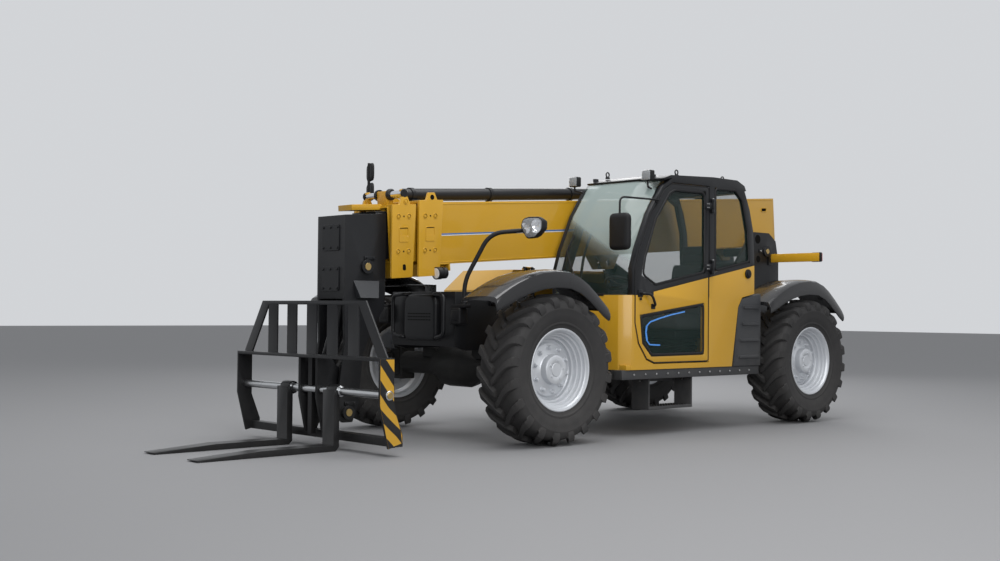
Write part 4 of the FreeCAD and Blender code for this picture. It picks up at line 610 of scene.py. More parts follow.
# The cab's glass carries the painted sky reflection across the windscreen's top.
glass_with_painted_reflection = pane_material("glass_painted_reflection", glass_green, 0.66, 0.24, painted_sky_grey)
finish("cab_frame", cab_black, 0.006)
lower_cab = finish("cab_body", machine_yellow, 0.030)
lower_cab.modifiers["broken_edges"].angle_limit = math.radians(12)
lower_cab.modifiers["broken_edges"].segments = 4
finish("cab_glass", glass_with_painted_reflection, 0.0)
finish("door_frame", cab_black, 0.006)
finish("door_panel", machine_yellow, 0.006)
finish("door_glass", tinted, 0.0)
finish("console", cab_black, 0.008)
door_side = 1.100


def rounded(outline, radius, chords=5):
    """An outline with each corner turned in an arc of this radius, as far as its sides allow."""
    points = []
    count = len(outline)
    for k in range(count):
        before, corner, after = (Vector(outline[(k + j) % count]) for j in (-1, 0, 1))
        back = (before - corner).normalized()
        on = (after - corner).normalized()
        turn = math.pi - back.angle(on)
        if turn < 0.05:
            points.append(tuple(corner))
            continue
        reach = min(radius * math.tan(turn / 2), 0.45 * (before - corner).length,
                    0.45 * (after - corner).length)
        start, end = corner + back * reach, corner + on * reach
        for j in range(chords + 1):
            t = j / chords
            points.append(tuple(start * (1 - t) ** 2 + corner * 2 * t * (1 - t) + end * t ** 2))
    return points


def inset(outline, depth):
    """The same outline moved inward by depth all round."""
    area = sum(a[0] * b[1] - b[0] * a[1] for a, b in zip(outline, outline[1:] + outline[:1]))
    turn = 1 if area > 0 else -1
    points = []
    count = len(outline)
    for k in range(count):
        before, here, after = (Vector(outline[(k + j) % count]) for j in (-1, 0, 1))
        first = (here - before).normalized()
        second = (after - here).normalized()
        normal = Vector((-first.y - second.y, first.x + second.x))
        if normal.length < 1e-6:
            normal = Vector((-first.y, first.x))
        normal.normalize()
        share = max(0.4, normal.dot(Vector((-first.y, first.x))))
        points.append(tuple(here + normal * (turn * depth / share)))
    return points


def on_plane(plane, a, b, depth):
    """A point of a side, front or plan outline at this depth across its plane."""
    return {"side": (a, depth, b), "front": (depth, a, b), "plan": (a, b, depth)}[plane]


def gasket(mesh, outline, plane, depth, width, rise, out=1):
    """A rounded rubber edge that runs round an outline and stands off its surface."""
    inner = inset(outline, width)
    middle_out = inset(outline, width * 0.25)
    middle_in = inset(outline, width * 0.75)
    rings = [[on_plane(plane, a, b, depth + out * up) for a, b in line]
             for line, up in ((outline, 0.0), (middle_out, rise), (middle_in, rise), (inner, 0.0))]
    grid = [[mesh.verts.new(p) for p in ring] for ring in rings]
    count = len(outline)
    for low, high in zip(grid, grid[1:] + grid[:1]):
        for k in range(count):
            other = (k + 1) % count
            mesh.faces.new((low[k], low[other], high[other], high[k]))


def slab(mesh, outline, plane, low, high, trim=0.0):
    """A plate cut to an outline, the edges of its high face broken by trim."""
    steps = [(outline, low), (outline, high)]
    if trim:
        rise = 1 if high > low else -1
        steps = [(outline, low), (outline, high - trim * rise), (inset(outline, trim), high)]
    skin(mesh, [[on_plane(plane, a, b, depth) for a, b in line] for line, depth in steps])


def bar(mesh, points, radius, bend=0.03, sides=12, chords=5):
    """A round bar along a path with turned corners."""
    stops = [Vector(p) for p in points]
    path = [stops[0]]
    for before, corner, after in zip(stops, stops[1:], stops[2:]):
        back = (before - corner).normalized()
        on = (after - corner).normalized()
        reach = min(bend, 0.45 * (before - corner).length, 0.45 * (after - corner).length)
        start, end = corner + back * reach, corner + on * reach
        for j in range(chords + 1):
            t = j / chords
            path.append(start * (1 - t) ** 2 + corner * 2 * t * (1 - t) + end * t ** 2)
    path.append(stops[-1])
    heading_in = (path[1] - path[0]).normalized()
    across = heading_in.orthogonal().normalized()
    rings = []
    for k, spot in enumerate(path):
        back = (spot - path[k - 1]).normalized() if k else heading_in
        on = (path[k + 1] - spot).normalized() if k + 1 < len(path) else back
        tangent = (back + on).normalized()
        across = (across - tangent * across.dot(tangent)).normalized()
        other = tangent.cross(across)
        rings.append([spot + (across * math.cos(a) + other * math.sin(a)) * radius
                      for a in (2 * math.pi * j / sides for j in range(sides))])
    skin(mesh, rings)


def from_axle(outline):
    return [(front_axle + a / 1000, b / 1000) for a, b in outline]


DOOR_WINDOW = from_axle([
    (-1025, 1345), (-1055, 1500), (-1190, 1830), (-1370, 2060), (-1450, 2100), (-1880, 2105),
    (-1880, 1385), (-1200, 1260)])
LOWER_WINDOW = from_axle([
    (-1005, 1015), (-1868, 1125), (-1868, 672), (-1155, 668), (-1035, 780)])
QUARTER_WINDOW = from_axle([
    (-2010, 2150), (-2320, 2155), (-2430, 2060), (-2510, 1790), (-2535, 1500), (-2010, 1400)])
DOOR_EDGE = from_axle([
    (-938, 950), (-938, 1400), (-992, 1560), (-1140, 1860), (-1315, 2085), (-1430, 2145),
    (-1930, 2150), (-1930, 610), (-1190, 610), (-1090, 645), (-985, 780)])
CORNER = from_axle([(-926, 598), (-926, 960), (-932, 960), (-978, 776), (-1086, 639), (-1190, 604),
                    (-1190, 598)])
mesh = bmesh.new()
slab(mesh, CORNER, "side", door_side - 0.044, door_side - 0.0005)
slab(mesh, from_axle([(-1991, 1172), (-1936, 1172), (-1936, 1350), (-1991, 1361)]), "side",
     door_side - 0.001, door_side + 0.0015)
made("cab_corner_panel", mesh, machine_yellow, "chassis")
mesh = bmesh.new()
gasket(mesh, rounded(QUARTER_WINDOW, 0.05), "side", door_side, 0.022, 0.006)
made("quarter_gasket", mesh, trim_black, "chassis")
mesh = bmesh.new()
gasket(mesh, rounded(DOOR_WINDOW, 0.07), "side", door_side, 0.024, 0.006)
gasket(mesh, rounded(LOWER_WINDOW, 0.05), "side", door_side, 0.026, 0.005)
made("door_gaskets", mesh, trim_black, "door")
mesh = bmesh.new()
gasket(mesh, rounded(DOOR_EDGE, 0.03), "side", door_side - 0.001, 0.012, 0.0035)
made("door_seal", mesh, trim_black, "door")
mesh = bmesh.new()
handle_x = front_axle - 1.02
bar(mesh, [(handle_x + 0.015, door_side, 1.196), (handle_x + 0.015, door_side + 0.046, 1.196),
           (handle_x - 0.08, door_side + 0.052, 1.185),
           (handle_x - 0.150, door_side + 0.030, 1.100), (handle_x - 0.150, door_side, 1.090)],
    0.011, 0.05)
block(mesh, (handle_x - 0.012, door_side - 0.001, 1.165),
      (handle_x + 0.045, door_side + 0.010, 1.225), 0.004)
block(mesh, (handle_x - 0.175, door_side - 0.001, 1.066),
      (handle_x - 0.125, door_side + 0.008, 1.110), 0.004)
disc(mesh, (handle_x + 0.016, door_side + 0.008, 1.150), (0, 1, 0), 0.012, 0.006)
made("door_handle_grip", mesh, cab_black, "door")
mesh = bmesh.new()
for height in (1.44, 1.98):
    for x in (-1.885, -1.905):
        for z in (-0.016, 0.016):
            hexagon(mesh, (front_axle + x, door_side + 0.017, height + z), (0, 1, 0), 0.012, 0.005)
    disc(mesh, (front_axle - 1.960, door_side + 0.020, height + 0.062), (0, 0, 1),
         0.0115, 0.006, 18)
made("door_hinge_bolts", mesh, bolt_steel, "door")

# Stripe on the door's lower pane: a pale blue bracket
# It is a flat film cut as one bent stroke, which runs forward below the pane's upper edge, turns
# down at its front end and closes along the bottom.
film_blue = coat("film_blue", (0.07, 0.27, 0.72), 0.35, gloss_coat=0.3, shade=0.05)
film_low, film_high = 1.0965, 1.0985
flat_half, upright_half = 0.006, 0.010
mesh = bmesh.new()
BRACKET = from_axle([(-1600, 1047), (-1420, 1020), (-1260, 988), (-1140, 958), (-1095, 925),
                     (-1085, 870), (-1100, 800), (-1135, 768), (-1270, 762)])
for a, b in zip(BRACKET, BRACKET[1:]):
    span = Vector(b) - Vector(a)
    half = upright_half if abs(span.y) > abs(span.x) else flat_half
    step = Vector((-span.y, span.x)).normalized() * half
    quad = [(a[0] + step.x, a[1] + step.y), (a[0] - step.x, a[1] - step.y),
            (b[0] - step.x, b[1] - step.y), (b[0] + step.x, b[1] + step.y)]
    slab(mesh, quad, "side", film_low, film_high)
made("door_bracket_stripe", mesh, film_blue, "door")

# Cab inside: seat, steering wheel, levers and grab rail
# The seat is a sprung base with a crowned cushion, a bolstered back and a head pad in dark cloth.
seat_y = 0.695
cloth = coat("seat_cloth", (0.020, 0.021, 0.024), 0.88, shade=0.25, grain=700, relief=0.0016)


def cushion(mesh, middle, axes, spans, crown, bolster, seams=(), steps=26):
    """A closed pad: crowned on its face, its sides drawn in between the corners, seams sunk in."""
    across, along, up = [Vector(axis).normalized() for axis in axes]
    wide, deep, thick = spans
    grids = []
    for face in (1, -1):
        grid = []
        for i in range(steps + 1):
            row = []
            u = -1 + 2 * i / steps
            for j in range(steps + 1):
                v = -1 + 2 * j / steps
                pull = 1 - 0.035 * (1 - v * v)
                pull_v = 1 - 0.035 * (1 - u * u)
                round_off = (1 - abs(u) ** 8) ** 0.35 * (1 - abs(v) ** 8) ** 0.35
                height = thick / 2 * round_off
                if face > 0:
                    height += crown * (1 - u * u) * (1 - v * v)
                    height += bolster * math.exp(-((abs(u) - 0.80) / 0.13) ** 2) * (1 - abs(v) ** 6)
                    for seam_axis, seam in seams:
                        off = (u if seam_axis == "u" else v) - seam
                        height -= 0.010 * math.exp(-(off / 0.035) ** 2) * round_off
                row.append(Vector(middle) + across * (u * wide / 2 * pull)
                           + along * (v * deep / 2 * pull_v) + up * (face * height))
            grid.append(row)
        grids.append(grid)
    top = [[mesh.verts.new(p) for p in row] for row in grids[0]]
    low = [[top[i][j] if i in (0, steps) or j in (0, steps) else mesh.verts.new(grids[1][i][j])
            for j in range(steps + 1)] for i in range(steps + 1)]
    for grid in (top, low):
        for i in range(steps):
            for j in range(steps):
                mesh.faces.new((grid[i][j], grid[i + 1][j], grid[i + 1][j + 1], grid[i][j + 1]))


mesh = bmesh.new()
seat_x = front_axle - 1.93
cushion(mesh, (seat_x, seat_y, 0.935), ((0, 1, 0), (1, 0, 0.05), (-0.05, 0, 1)),
        (0.470, 0.470, 0.125), 0.012, 0.030,
        (("u", -0.58), ("u", 0.58), ("v", 0.35), ("v", -0.30)))
made("seat_cushion", mesh, cloth, "chassis", sharp=60)
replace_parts(bpy.data.objects["seat_cushion"], "seat")
mesh = bmesh.new()
lean_back = Vector((-0.155, 0, 0.988))
cushion(mesh, (front_axle - 2.195, seat_y, 1.235), ((0, 1, 0), lean_back, (0.988, 0, 0.155)),
        (0.455, 0.500, 0.105), 0.010, 0.028,
        (("u", -0.58), ("u", 0.58), ("v", -0.25), ("v", 0.30)))
made("seat_backrest", mesh, cloth, "chassis", sharp=60)
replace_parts(bpy.data.objects["seat_backrest"], "seat")
mesh = bmesh.new()
cushion(mesh, (front_axle - 2.245, seat_y, 1.568), ((0, 1, 0), lean_back, (0.988, 0, 0.155)),
        (0.280, 0.170, 0.085), 0.008, 0.0, (("v", 0.0),), 18)
made("seat_head_pad", mesh, cloth, "chassis", sharp=60)
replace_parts(bpy.data.objects["seat_head_pad"], "seat")
mesh = bmesh.new()
block(mesh, (seat_x - 0.18, seat_y - 0.17, 0.600), (seat_x + 0.18, seat_y + 0.17, 0.640), 0.006)
for fold in range(5):
    shrink = 0.012 if fold % 2 else 0.0
    block(mesh, (seat_x - 0.165 + shrink, seat_y - 0.155 + shrink, 0.640 + fold * 0.034),
          (seat_x + 0.165 - shrink, seat_y + 0.155 - shrink, 0.674 + fold * 0.034), 0.010)
block(mesh, (seat_x - 0.20, seat_y - 0.19, 0.810), (seat_x + 0.20, seat_y + 0.19, 0.880), 0.010)
for side in (-1, 1):
    arm_y = seat_y + side * 0.245
    bar(mesh, [(seat_x - 0.20, arm_y, 0.98), (seat_x - 0.20, arm_y, 1.12),
               (seat_x + 0.14, arm_y, 1.14)], 0.018, 0.05)
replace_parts(made("seat_base", mesh, trim_black, "chassis"), "seat")

mesh = bmesh.new()
wheel_middle = Vector((front_axle - 1.288, seat_y, 1.250))
tilt_axis = Matrix.Translation(wheel_middle) @ Matrix.Rotation(math.radians(-30), 4, "Y")
grip_radius, grip_half, grip_sides = 0.180, 0.0135, 12
GRIP_CROSS = [(grip_radius + grip_half * math.cos(2 * math.pi * k / grip_sides),
               grip_half * math.sin(2 * math.pi * k / grip_sides)) for k in range(grip_sides)]
turned(mesh, GRIP_CROSS, 48)
bmesh.ops.transform(mesh, matrix=Matrix.Rotation(math.radians(90), 4, "X"), verts=mesh.verts)
for turn in (90, 210, 330):
    a = math.radians(turn)
    bar(mesh, [(0.03 * math.cos(a), 0.03 * math.sin(a), 0.0),
               (0.10 * math.cos(a), 0.10 * math.sin(a), -0.012),
               (0.176 * math.cos(a), 0.176 * math.sin(a), 0.0)], 0.011, 0.03, 10)
disc(mesh, (0, 0, -0.030), (0, 0, 1), 0.046, 0.040, 32)
disc(mesh, (-0.125, 0.125, 0.004), (0, 0, 1), 0.020, 0.045, 20)
made("steering_wheel_grip", mesh, trim_black, "chassis", tilt_axis)
mesh = bmesh.new()
for along, across, lean_x in ((-1.50, 0.42, 0.05), (-1.60, 0.42, 0.03)):
    bar(mesh, [(front_axle + along, across, 0.60), (front_axle + along, across, 0.95),
               (front_axle + along + lean_x, across + 0.01, 1.12)], 0.010, 0.05)
    disc(mesh, (front_axle + along + lean_x, across + 0.01, 1.11), (0.1, 0, 1),
         0.020, 0.06, 20, 0.4)
block(mesh, (front_axle - 1.75, 0.36, 0.60), (front_axle - 1.42, 0.47, 0.90), 0.012)
bar(mesh, [(front_axle - 1.02, 0.40, 1.30), (front_axle - 1.05, 0.42, 1.55),
           (front_axle - 1.20, 0.42, 1.85)], 0.012, 0.08)
block(mesh, (front_axle - 1.16, 0.72, 1.10), (front_axle - 1.02, 0.90, 1.22), 0.012)
made("cab_controls", mesh, trim_black, "chassis")

# Cab outside: windscreen edges, wiper, roof eye bolts and filler cap
# A dark band masks the glued edges of the front pane, and a wiper is parked low on it.
mesh = bmesh.new()
PANE_LINE = [(-0.800, 1.182), (-0.805, 1.400), (-0.857, 1.560), (-1.005, 1.870), (-1.172, 2.108)]
pane_edge = 0.296
edge_low, edge_high = pane_edge - 0.012, pane_edge + 0.020
skin(mesh, [[(x + 0.004, edge_low, z), (x + 0.007, pane_edge, z), (x + 0.004, edge_high, z),
             (x - 0.006, edge_high, z), (x - 0.006, edge_low, z)]
            for x, z in ((front_axle + along, z) for along, z in PANE_LINE)])
block(mesh, (front_axle - 0.826, 0.300, 1.172), (front_axle - 0.794, 0.880, 1.196), 0.004)
made("windscreen_edges", mesh, trim_black, "chassis")
mesh = bmesh.new()
wiper_foot = (front_axle - 0.800, 0.62, 1.215)
disc(mesh, wiper_foot, (1, 0, 0), 0.020, 0.018, 20)
bar(mesh, [(front_axle - 0.790, 0.62, 1.215), (front_axle - 0.793, 0.50, 1.44),
           (front_axle - 0.812, 0.44, 1.56)], 0.005, 0.06, 8)
bar(mesh, [(front_axle - 0.790, 0.40, 1.36), (front_axle - 0.813, 0.44, 1.56),
           (front_axle - 0.872, 0.47, 1.70)], 0.007, 0.05, 8)
made("windscreen_wiper", mesh, trim_black, "chassis")
mesh = bmesh.new()
for x, y in ((-1.37, 0.40), (-1.62, 0.98), (-2.33, 0.94)):
    ring_middle = Vector((front_axle + x, y, 2.262))
    disc(mesh, (front_axle + x, y, 2.225), (0, 0, 1), 0.020, 0.016, 20)
    eye_ring = [(0.020 + 0.006 * math.cos(2 * math.pi * k / 8),
                 0.006 * math.sin(2 * math.pi * k / 8)) for k in range(8)]
    first = len(mesh.verts)
    turned(mesh, eye_ring, 20)
    mesh.verts.ensure_lookup_table()
    for vert in mesh.verts[first:]:
        vert.co = ring_middle + Vector(vert.co)
made("roof_eye_bolts", mesh, cab_black, "chassis")
mesh = bmesh.new()
disc(mesh, (front_axle - 2.503, door_side, 1.396), (0, 1, 0), 0.042, 0.016, 36, 0.3)
disc(mesh, (front_axle - 2.503, door_side + 0.014, 1.396), (0, 1, 0), 0.028, 0.010, 28, 0.3)
made("filler_cap", mesh, trim_black, "chassis")

# Outside steel: sill, side tank, steps and engine bonnet
# Bolts along the sill rail, grip studs on the step, and louvres in the bonnet's flank.
finish("bonnet", machine_yellow, 0.012)
slate = coat("slate_plastic", (0.022, 0.024, 0.028), 0.48, shade=0.12, grain=180, dust=0.25,
             dust_height=1.2)
finish("sill_and_step", slate, 0.004)
mesh = bmesh.new()
for k in range(12):
    x = front_axle - 0.95 - 0.145 * k
    hexagon(mesh, (x, 1.085, 0.520), (0, 1, 0), 0.020, 0.008)
for x in (-1.200, -1.770):
    for z in (0.455, 0.475):
        hexagon(mesh, (front_axle + x + 0.008, 0.945, z), (1, 0, 0), 0.016, 0.008)
made("sill_bolts", mesh, bolt_steel, "chassis")
mesh = bmesh.new()
for row in range(4):
    for k in range(15):
        spot = (front_axle - 1.735 + 0.036 * k + 0.018 * (row % 2), 0.872 + 0.046 * row, 0.240)
        disc(mesh, spot, (0, 0, 1), 0.010, 0.004, 12, 0.4)
made("step_studs", mesh, satin_black, "chassis")
mesh = bmesh.new()
for k in range(7):
    z = 1.12 + 0.032 * k
    block(mesh, (front_axle - 1.95, -1.1265, z), (front_axle - 1.10, -1.119, z + 0.012), 0.003)
bar(mesh, [(front_axle - 1.60, -1.12, 1.385), (front_axle - 1.60, -1.135, 1.385),
           (front_axle - 1.45, -1.135, 1.385), (front_axle - 1.45, -1.12, 1.385)], 0.007, 0.012, 10)
made("bonnet_louvres", mesh, trim_black, "bonnet")

# Nose: bulged cover and grab loops
# A moulded black cover with crowned edges and three rows of breathing slots closes the frame's
# nose, between two wide loops of bent tube for tying down.
# Near-black used as painted shade: it stands in for the shade inside holes, slots and crevices that
# are not cut.
painted_hole_shade = coat("hole_shadow", (0.004, 0.0035, 0.003), 0.85, shade=0.1, mirror=0.1)
mesh, slots = bmesh.new(), bmesh.new()
nose_front = front_axle + 0.420
NOSE_COVER = [(-0.205, 0.795), (0.205, 0.795), (0.205, 1.100), (0.165, 1.168), (-0.165, 1.168),
              (-0.205, 1.100)]
nose_outline = rounded(NOSE_COVER, 0.06)
skin(mesh, [[(nose_front + reach, y, z) for y, z in inset(nose_outline, depth)]
            for reach, depth in ((-0.002, 0.0), (0.022, 0.0), (0.030, 0.003), (0.036, 0.009),
                                 (0.040, 0.018), (0.041, 0.030))])
# The breathing slots are not cut: near-black plates on the cover's face are painted shade in their
# place.
for row in range(3):
    for k in range(9):
        y, z = -0.132 + 0.033 * k, 0.962 + 0.025 * row
        block(slots, (nose_front + 0.040, y - 0.011, z - 0.005),
              (nose_front + 0.0415, y + 0.011, z + 0.005))
for side in (1, -1):
    bar(mesh, [(nose_front, side * 0.175, 1.165), (nose_front + 0.050, side * 0.190, 1.172),
               (nose_front + 0.055, side * 0.325, 1.160), (nose_front + 0.055, side * 0.325, 0.840),
               (nose_front + 0.050, side * 0.215, 0.820), (nose_front, side * 0.205, 0.820)],
        0.015, 0.045, 16)
    for z in (1.165, 0.820):
        disc(mesh, (nose_front, side * (0.175 if z > 1 else 0.205), z), (1, 0, 0), 0.026, 0.006, 24)
cover = made("nose_cover", mesh, satin_black, "chassis")
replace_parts(cover, "nose_guard")
made("nose_slot_shade", slots, painted_hole_shade, "chassis")

# Lamps: two headlamps, two work lamps on the roof and two tail lamps
# Each is a dark moulded housing, a bright bowl with its bulb and a clear or red cover.
lens_clear = pane_material("lamp_glass", (0.80, 0.83, 0.86), 0.72, 0.25)
lens_frosted = pane_material("frosted_lamp_glass", (0.86, 0.89, 0.92), 0.30, 0.25)
bowl_chrome = coat("lamp_bowl", (0.80, 0.81, 0.83), 0.10, metal=1.0, shade=0.02, grain=60)
lens_red = coat("lamp_red", (0.42, 0.010, 0.008), 0.18, gloss_coat=0.6, shade=0.1, grain=220)
HEADLAMP = [
    # across, up
    (0.862, 1.700), (0.884, 1.762), (0.950, 1.773), (1.060, 1.770), (1.108, 1.745), (1.106, 1.668),
    (1.030, 1.606), (0.930, 1.602)]
shells, bowls, panes = bmesh.new(), bmesh.new(), bmesh.new()
BOWLS = [
    # across, up, radius
    (0.925, 1.690, 0.052), (1.038, 1.697, 0.056)]
BOWL_DEPTH = [
    # share of the radius, place behind the front
    (1.00, 0.000), (0.94, -0.010), (0.78, -0.024), (0.50, -0.036), (0.16, -0.042), (0.14, -0.026),
    (0.10, -0.020)]


def bowl(mesh, place, radius):
    """A reflector with its bulb, open towards +X."""
    steps = 28
    rings = [[Vector(place) + Vector((back, share * radius * math.cos(a),
                                      share * radius * math.sin(a)))
              for a in (2 * math.pi * k / steps for k in range(steps))]
             for share, back in BOWL_DEPTH]
    grid = [[mesh.verts.new(p) for p in ring] for ring in rings]
    for low, high in zip(grid, grid[1:]):
        for k in range(steps):
            mesh.faces.new((low[k], low[(k + 1) % steps], high[(k + 1) % steps], high[k]))
    mesh.faces.new(grid[-1])


for side in (1, -1):
    outline = rounded([(side * y, z) for y, z in HEADLAMP], 0.05)
    x = front_axle + 0.060
    skin(shells, [[on_plane("front", a, b, depth) for a, b in line] for line, depth in (
        (inset(outline, 0.050), x), (inset(outline, 0.016), x + 0.026),
        (inset(outline, 0.002), x + 0.060), (outline, x + 0.088),
        (inset(outline, 0.004), x + 0.094), (inset(outline, 0.011), x + 0.094),
        (inset(outline, 0.013), x + 0.050))])
    for y, z, radius in BOWLS:
        bowl(bowls, (x + 0.094, side * y, z), radius)
    face = inset(outline, 0.011)
    skin(panes, [[on_plane("front", a, b, depth) for a, b in line] for line, depth in (
        (face, x + 0.090), (face, x + 0.096), (inset(face, 0.012), x + 0.101))])
ROOF_LAMPS = [
    # place along, place across, place across of the bracket's foot on the pillar
    (-1.160, 1.045, 1.050), (-1.150, 0.205, 0.300)]
lamp_foot = 2.150
for along, across, foot in ROOF_LAMPS:
    x = front_axle + along
    block(shells, (x - 0.034, across - 0.050, lamp_foot),
          (x + 0.024, across + 0.050, lamp_foot + 0.088), 0.010)
    for fin in range(4):
        block(shells, (x - 0.038, across - 0.040 + 0.022 * fin, lamp_foot + 0.010),
              (x - 0.030, across - 0.032 + 0.022 * fin, lamp_foot + 0.074), 0.001)
    bar(shells, [(front_axle - 1.200, foot, 2.085), (x, foot, 2.095), (x, across, 2.115),
                 (x, across, lamp_foot + 0.004)], 0.009, 0.02, 12)
    bowl(bowls, (x + 0.031, across - 0.022, lamp_foot + 0.044), 0.020)
    bowl(bowls, (x + 0.031, across + 0.022, lamp_foot + 0.044), 0.020)
    block(panes, (x + 0.024, across - 0.047, lamp_foot + 0.004),
          (x + 0.037, across + 0.047, lamp_foot + 0.084), 0.005)
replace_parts(made("lamp_housings", shells, trim_black, "chassis"), "lamps")
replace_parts(made("lamp_bowls", bowls, bowl_chrome, "chassis"), "lamps")
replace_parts(made("lamp_covers", panes, lens_clear, "chassis"), "lamps")
tails, reds = bmesh.new(), bmesh.new()
for side in (1, -1):
    x = front_axle - 4.012
    low_y, high_y = sorted((side * 0.790, side * 0.900))
    block(tails, (x - 0.030, low_y, 1.562), (x, high_y, 1.658), 0.008)
    block(reds, (x - 0.046, low_y + 0.006, 1.568), (x - 0.028, high_y - 0.006, 1.652), 0.006)
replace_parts(made("tail_lamp_housings", tails, trim_black, "chassis"), "lamps")
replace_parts(made("tail_lamp_covers", reds, lens_red, "chassis"), "lamps")
arms = bmesh.new()
for side in (1, -1):
    low_y, high_y = sorted((side * 0.312, side * 0.884))
    block(arms, (front_axle - 4.016, low_y, 1.566), (front_axle - 3.996, high_y, 1.654), 0.004)
made("tail_lamp_arms", arms, machine_yellow, "chassis")

# Lamp poles and mirrors
# Black tubes bent to shape on bolted feet, with moulded mirror heads and silvered glass behind.
mirror_glass = coat("mirror_glass", (0.55, 0.58, 0.60), 0.04, metal=1.0, shade=0.02, grain=20,
                    relief=0.0001)
LAMP_POLE = [(0.430, 0.520, 1.070), (0.430, 0.520, 1.270), (0.300, 0.670, 1.650),
             (0.120, 0.840, 1.672), (0.085, 0.900, 1.672)]
poles, glass = bmesh.new(), bmesh.new()
for side in (1, -1):
    bar(poles, [(front_axle + x, side * y, z) for x, y, z in LAMP_POLE], 0.0175, 0.12, 16, 8)
    low_y, high_y = sorted((side * 0.400, side * 0.560))
    block(poles, (front_axle + 0.395, low_y, 1.062), (front_axle + 0.470, high_y, 1.088), 0.004)
    for x in (0.408, 0.456):
        hexagon(poles, (front_axle + x, side * 0.545, 1.088), (0, 0, 1), 0.018, 0.008)
    disc(poles, (front_axle + 0.430, side * 0.520, 1.088), (0, 0, 1), 0.030, 0.030, 24, 0.3)
    low_y, high_y = sorted((side * 0.396, side * 0.520))
    block(poles, (front_axle + 0.385, low_y, 0.930), (front_axle + 0.480, high_y, 1.064), 0.018, 4)
    block(poles, (front_axle + 0.470, low_y + 0.02, 0.960),
          (front_axle + 0.486, high_y - 0.02, 1.040), 0.006)
bar(poles, [(front_axle - 1.212, 1.096, 1.985), (front_axle - 1.212, 1.130, 1.985),
            (front_axle - 0.750, 1.095, 1.985), (front_axle - 0.750, 1.095, 1.820)],
    0.0085, 0.06, 12, 8)
disc(poles, (front_axle - 1.212, 1.098, 1.985), (0, 1, 0), 0.026, 0.012, 20)
bar(poles, [(front_axle + 0.230, -0.760, 1.660), (front_axle + 0.230, -1.000, 1.720),
            (front_axle + 0.230, -1.000, 2.340)], 0.0132, 0.09, 14, 8)


def mirror_head(mesh, panes_mesh, move, half_width, height, depth):
    """A moulded shell, bulged in front and hollowed behind round its silvered pane."""
    outline = rounded([(-half_width, 0.0), (half_width, 0.0), (half_width, height),
                       (-half_width, height)], 0.055, 6)
    lines = [(inset(outline, 0.040), depth / 2), (inset(outline, 0.018), depth * 0.42),
             (inset(outline, 0.004), depth * 0.18), (outline, -depth * 0.20),
             (inset(outline, 0.003), -depth / 2), (inset(outline, 0.010), -depth / 2),
             (inset(outline, 0.012), -depth * 0.38)]
    skin(mesh, [[move @ Vector(on_plane("front", a, b, x)) for a, b in line]
                for line, x in lines])
    face = [move @ Vector(on_plane("front", a, b, -depth * 0.42)) for a, b in inset(outline, 0.013)]
    panes_mesh.faces.new([panes_mesh.verts.new(p) for p in face])


mirror_head(poles, glass, Matrix.Translation((front_axle - 0.750, 1.094, 1.545)),
            0.108, 0.306, 0.048)
for height in (2.005, 2.180):
    mirror_head(poles, glass, Matrix.Translation((front_axle + 0.214, -1.006, height))
                @ Matrix.Rotation(math.radians(-22), 4, "Z"), 0.099, 0.160, 0.026)
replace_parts(made("bent_poles", poles, trim_black, "chassis"), "poles_and_mirrors")
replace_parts(made("mirror_panes", glass, mirror_glass, "chassis"),
            "poles_and_mirrors")

# Boom
# Welded box sections in yellow with cheek plates at each mouth, which carry bolted pads, a recess
# and a lifting ear. A thin blue and white line runs along the outer section.
for name in ("boom_outer", "boom_middle"):
    finish(name, machine_yellow, 0.004)
finish("boom_inner", satin_black, 0.005)
for name in ("telescope_barrel", "lift_barrel", "tilt_barrel"):
    finish(name, satin_black)
chrome = coat("hard_chrome", (0.72, 0.73, 0.75), 0.12, metal=1.0, shade=0.03, grain=300,
              relief=0.0001)
for name in ("telescope_rod", "lift_rod", "tilt_rod"):
    finish(name, chrome, 0.002)
boom_dip = math.radians(4.2)
boom_place = (Matrix.Translation((front_axle - 3.930, 0, 1.680))
              @ Matrix.Rotation(boom_dip, 4, "Y"))
lean = math.tan(boom_dip)
collar_half = 0.250
COLLARS = [
    # name, body, front, bottom, top
    ("outer", "boom", 4.620, -0.039, 0.566),
    ("middle", "middle_section", 4.890, -0.039, 0.534),
]


def circle(x, z, radius, steps=24):
    """A round outline in the boom's side plane."""
    return [(x + radius * math.cos(2 * math.pi * k / steps),
             z + radius * math.sin(2 * math.pi * k / steps)) for k in range(steps)]


